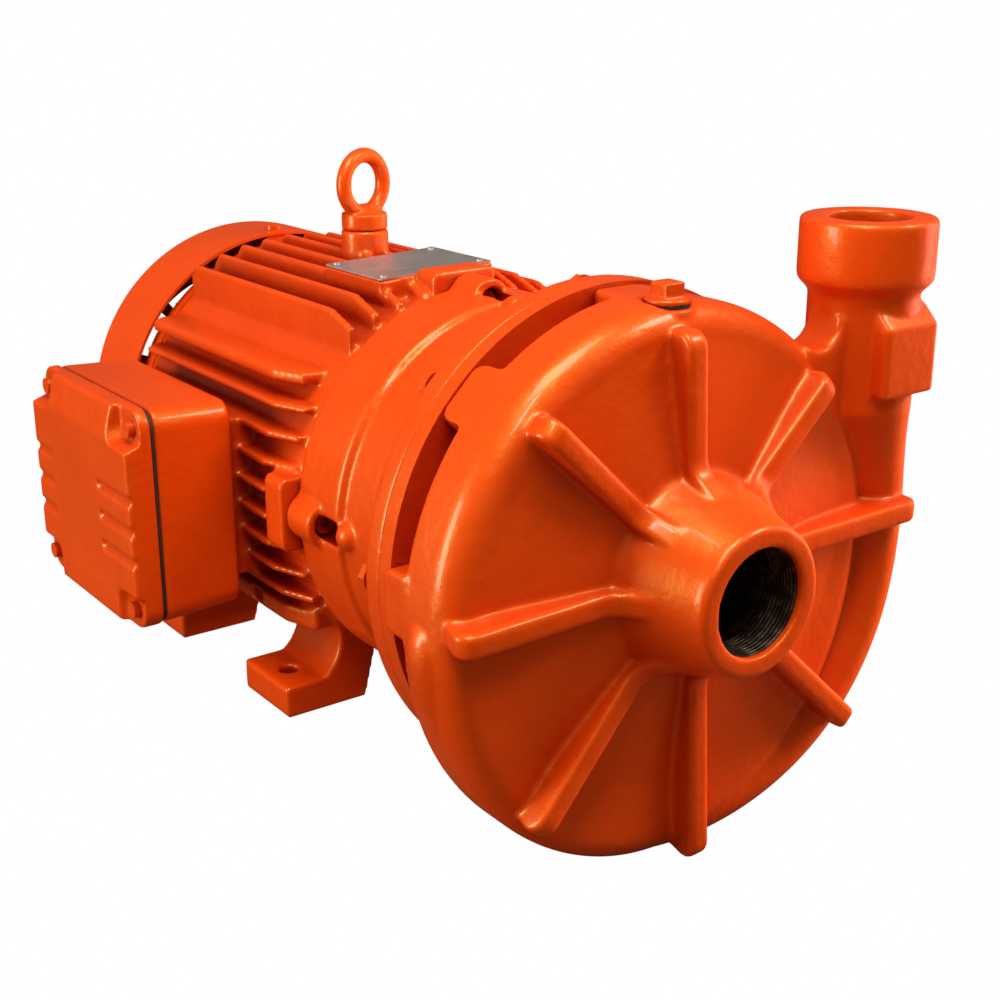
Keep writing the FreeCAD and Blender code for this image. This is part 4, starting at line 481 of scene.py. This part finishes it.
# %% [markdown]
# ## The studio
# A white ground, as in a catalogue, and soft lamps at a plain level, so that the paint
# renders as it is written. The floor and the world are white only to the camera. To the
# paint the floor is dark and warm, because a glossy red under a white room turns pink.
# A wide lamp on the right lights the ribs from the side, hidden from the gloss so that
# it leaves no white sheet on the paint, and a weak one beside it draws their edges. The
# top and side lamps fill in the motor, and a narrow one draws the streaks on the bell.


# %% Floor, world and lamps
FLOOR_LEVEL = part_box("volute_casing")[0].z
FLOOR_HALF = 6.0
WORLD_LEVEL = 0.30
WORLD_LEVEL_IN_GLOSS = 0.08


def studio_floor():
    """Plane under the pump, white to the camera and dark and warm to the paint."""
    mesh = bpy.data.meshes.new("studio_floor")
    corners = [(x * FLOOR_HALF, y * FLOOR_HALF, FLOOR_LEVEL)
               for x, y in ((-1, -1), (1, -1), (1, 1), (-1, 1))]
    mesh.from_pydata(corners, [], [(0, 1, 2, 3)])
    floor = bpy.data.objects.new("studio_floor", mesh)
    bpy.context.scene.collection.objects.link(floor)
    material, tree, output = new_material("pale_floor")
    shade = add_node(tree, "ShaderNodeBsdfDiffuse", Color=colour(0.16, 0.07, 0.03))
    white = add_node(tree, "ShaderNodeEmission", Color=colour(1, 1, 1), Strength=1.0)
    eye = tree.nodes.new("ShaderNodeLightPath").outputs["Is Camera Ray"]
    blend = add_node(tree, "ShaderNodeMixShader", i0=eye, i1=shade.outputs[0],
                     i2=white.outputs[0])
    tree.links.new(blend.outputs[0], output.inputs[0])
    mesh.materials.append(material)


studio_floor()

world = bpy.data.worlds.new("studio_world")
bpy.context.scene.world = world
world.use_nodes = True
sky = world.node_tree
sky.nodes.clear()
rays = sky.nodes.new("ShaderNodeLightPath").outputs
level = add_node(sky, "ShaderNodeMapRange", Value=rays["Is Glossy Ray"],
                 To_Min=WORLD_LEVEL, To_Max=WORLD_LEVEL_IN_GLOSS)
soft = add_node(sky, "ShaderNodeBackground", Color=colour(1.0, 0.93, 0.85),
                Strength=level.outputs[0])
backdrop = add_node(sky, "ShaderNodeBackground", Color=colour(1, 1, 1), Strength=1.0)
choice = add_node(sky, "ShaderNodeMixShader", i0=rays["Is Camera Ray"],
                  i1=soft.outputs[0], i2=backdrop.outputs[0])
sky_output = sky.nodes.new("ShaderNodeOutputWorld")
sky.links.new(choice.outputs[0], sky_output.inputs[0])


def lamp(name, place, aim, width, height, power, mirrored=True):
    """Soft rectangular lamp that points at a spot, seen in the gloss or not."""
    data = bpy.data.lights.new(name, "AREA")
    data.shape = "RECTANGLE"
    data.size = width
    data.size_y = height
    data.energy = power
    light = bpy.data.objects.new(name, data)
    light.location = place
    light.rotation_euler = (Vector(aim) - Vector(place)).to_track_quat("-Z", "Y").to_euler()
    light.visible_glossy = mirrored
    bpy.context.scene.collection.objects.link(light)


lamp("top_lamp", (-0.25, -0.45, 1.4), (0, -0.1, 0.15), 0.7, 0.5, 13)
lamp("side_lamp", (-1.5, 0.3, 0.4), (0, 0, 0.12), 0.5, 0.8, 15)
lamp("right_lamp", (1.75, -0.45, 0.3), (0.05, -0.3, 0.08), 0.5, 0.8, 72, False)
lamp("edge_lamp", (1.75, -0.45, 0.3), (0.05, -0.3, 0.08), 0.3, 0.8, 9)
lamp("front_lamp", (0.95, -1.05, 1.45), (0.0, -0.3, 0.2), 0.55, 0.4, 12)
lamp("streak_lamp", (-0.68, -0.88, 1.37), (-0.09, -0.32, 0.24), 0.12, 0.5, 5)
print("lamps:", len(bpy.data.lights), "floor level:", round(FLOOR_LEVEL, 4))
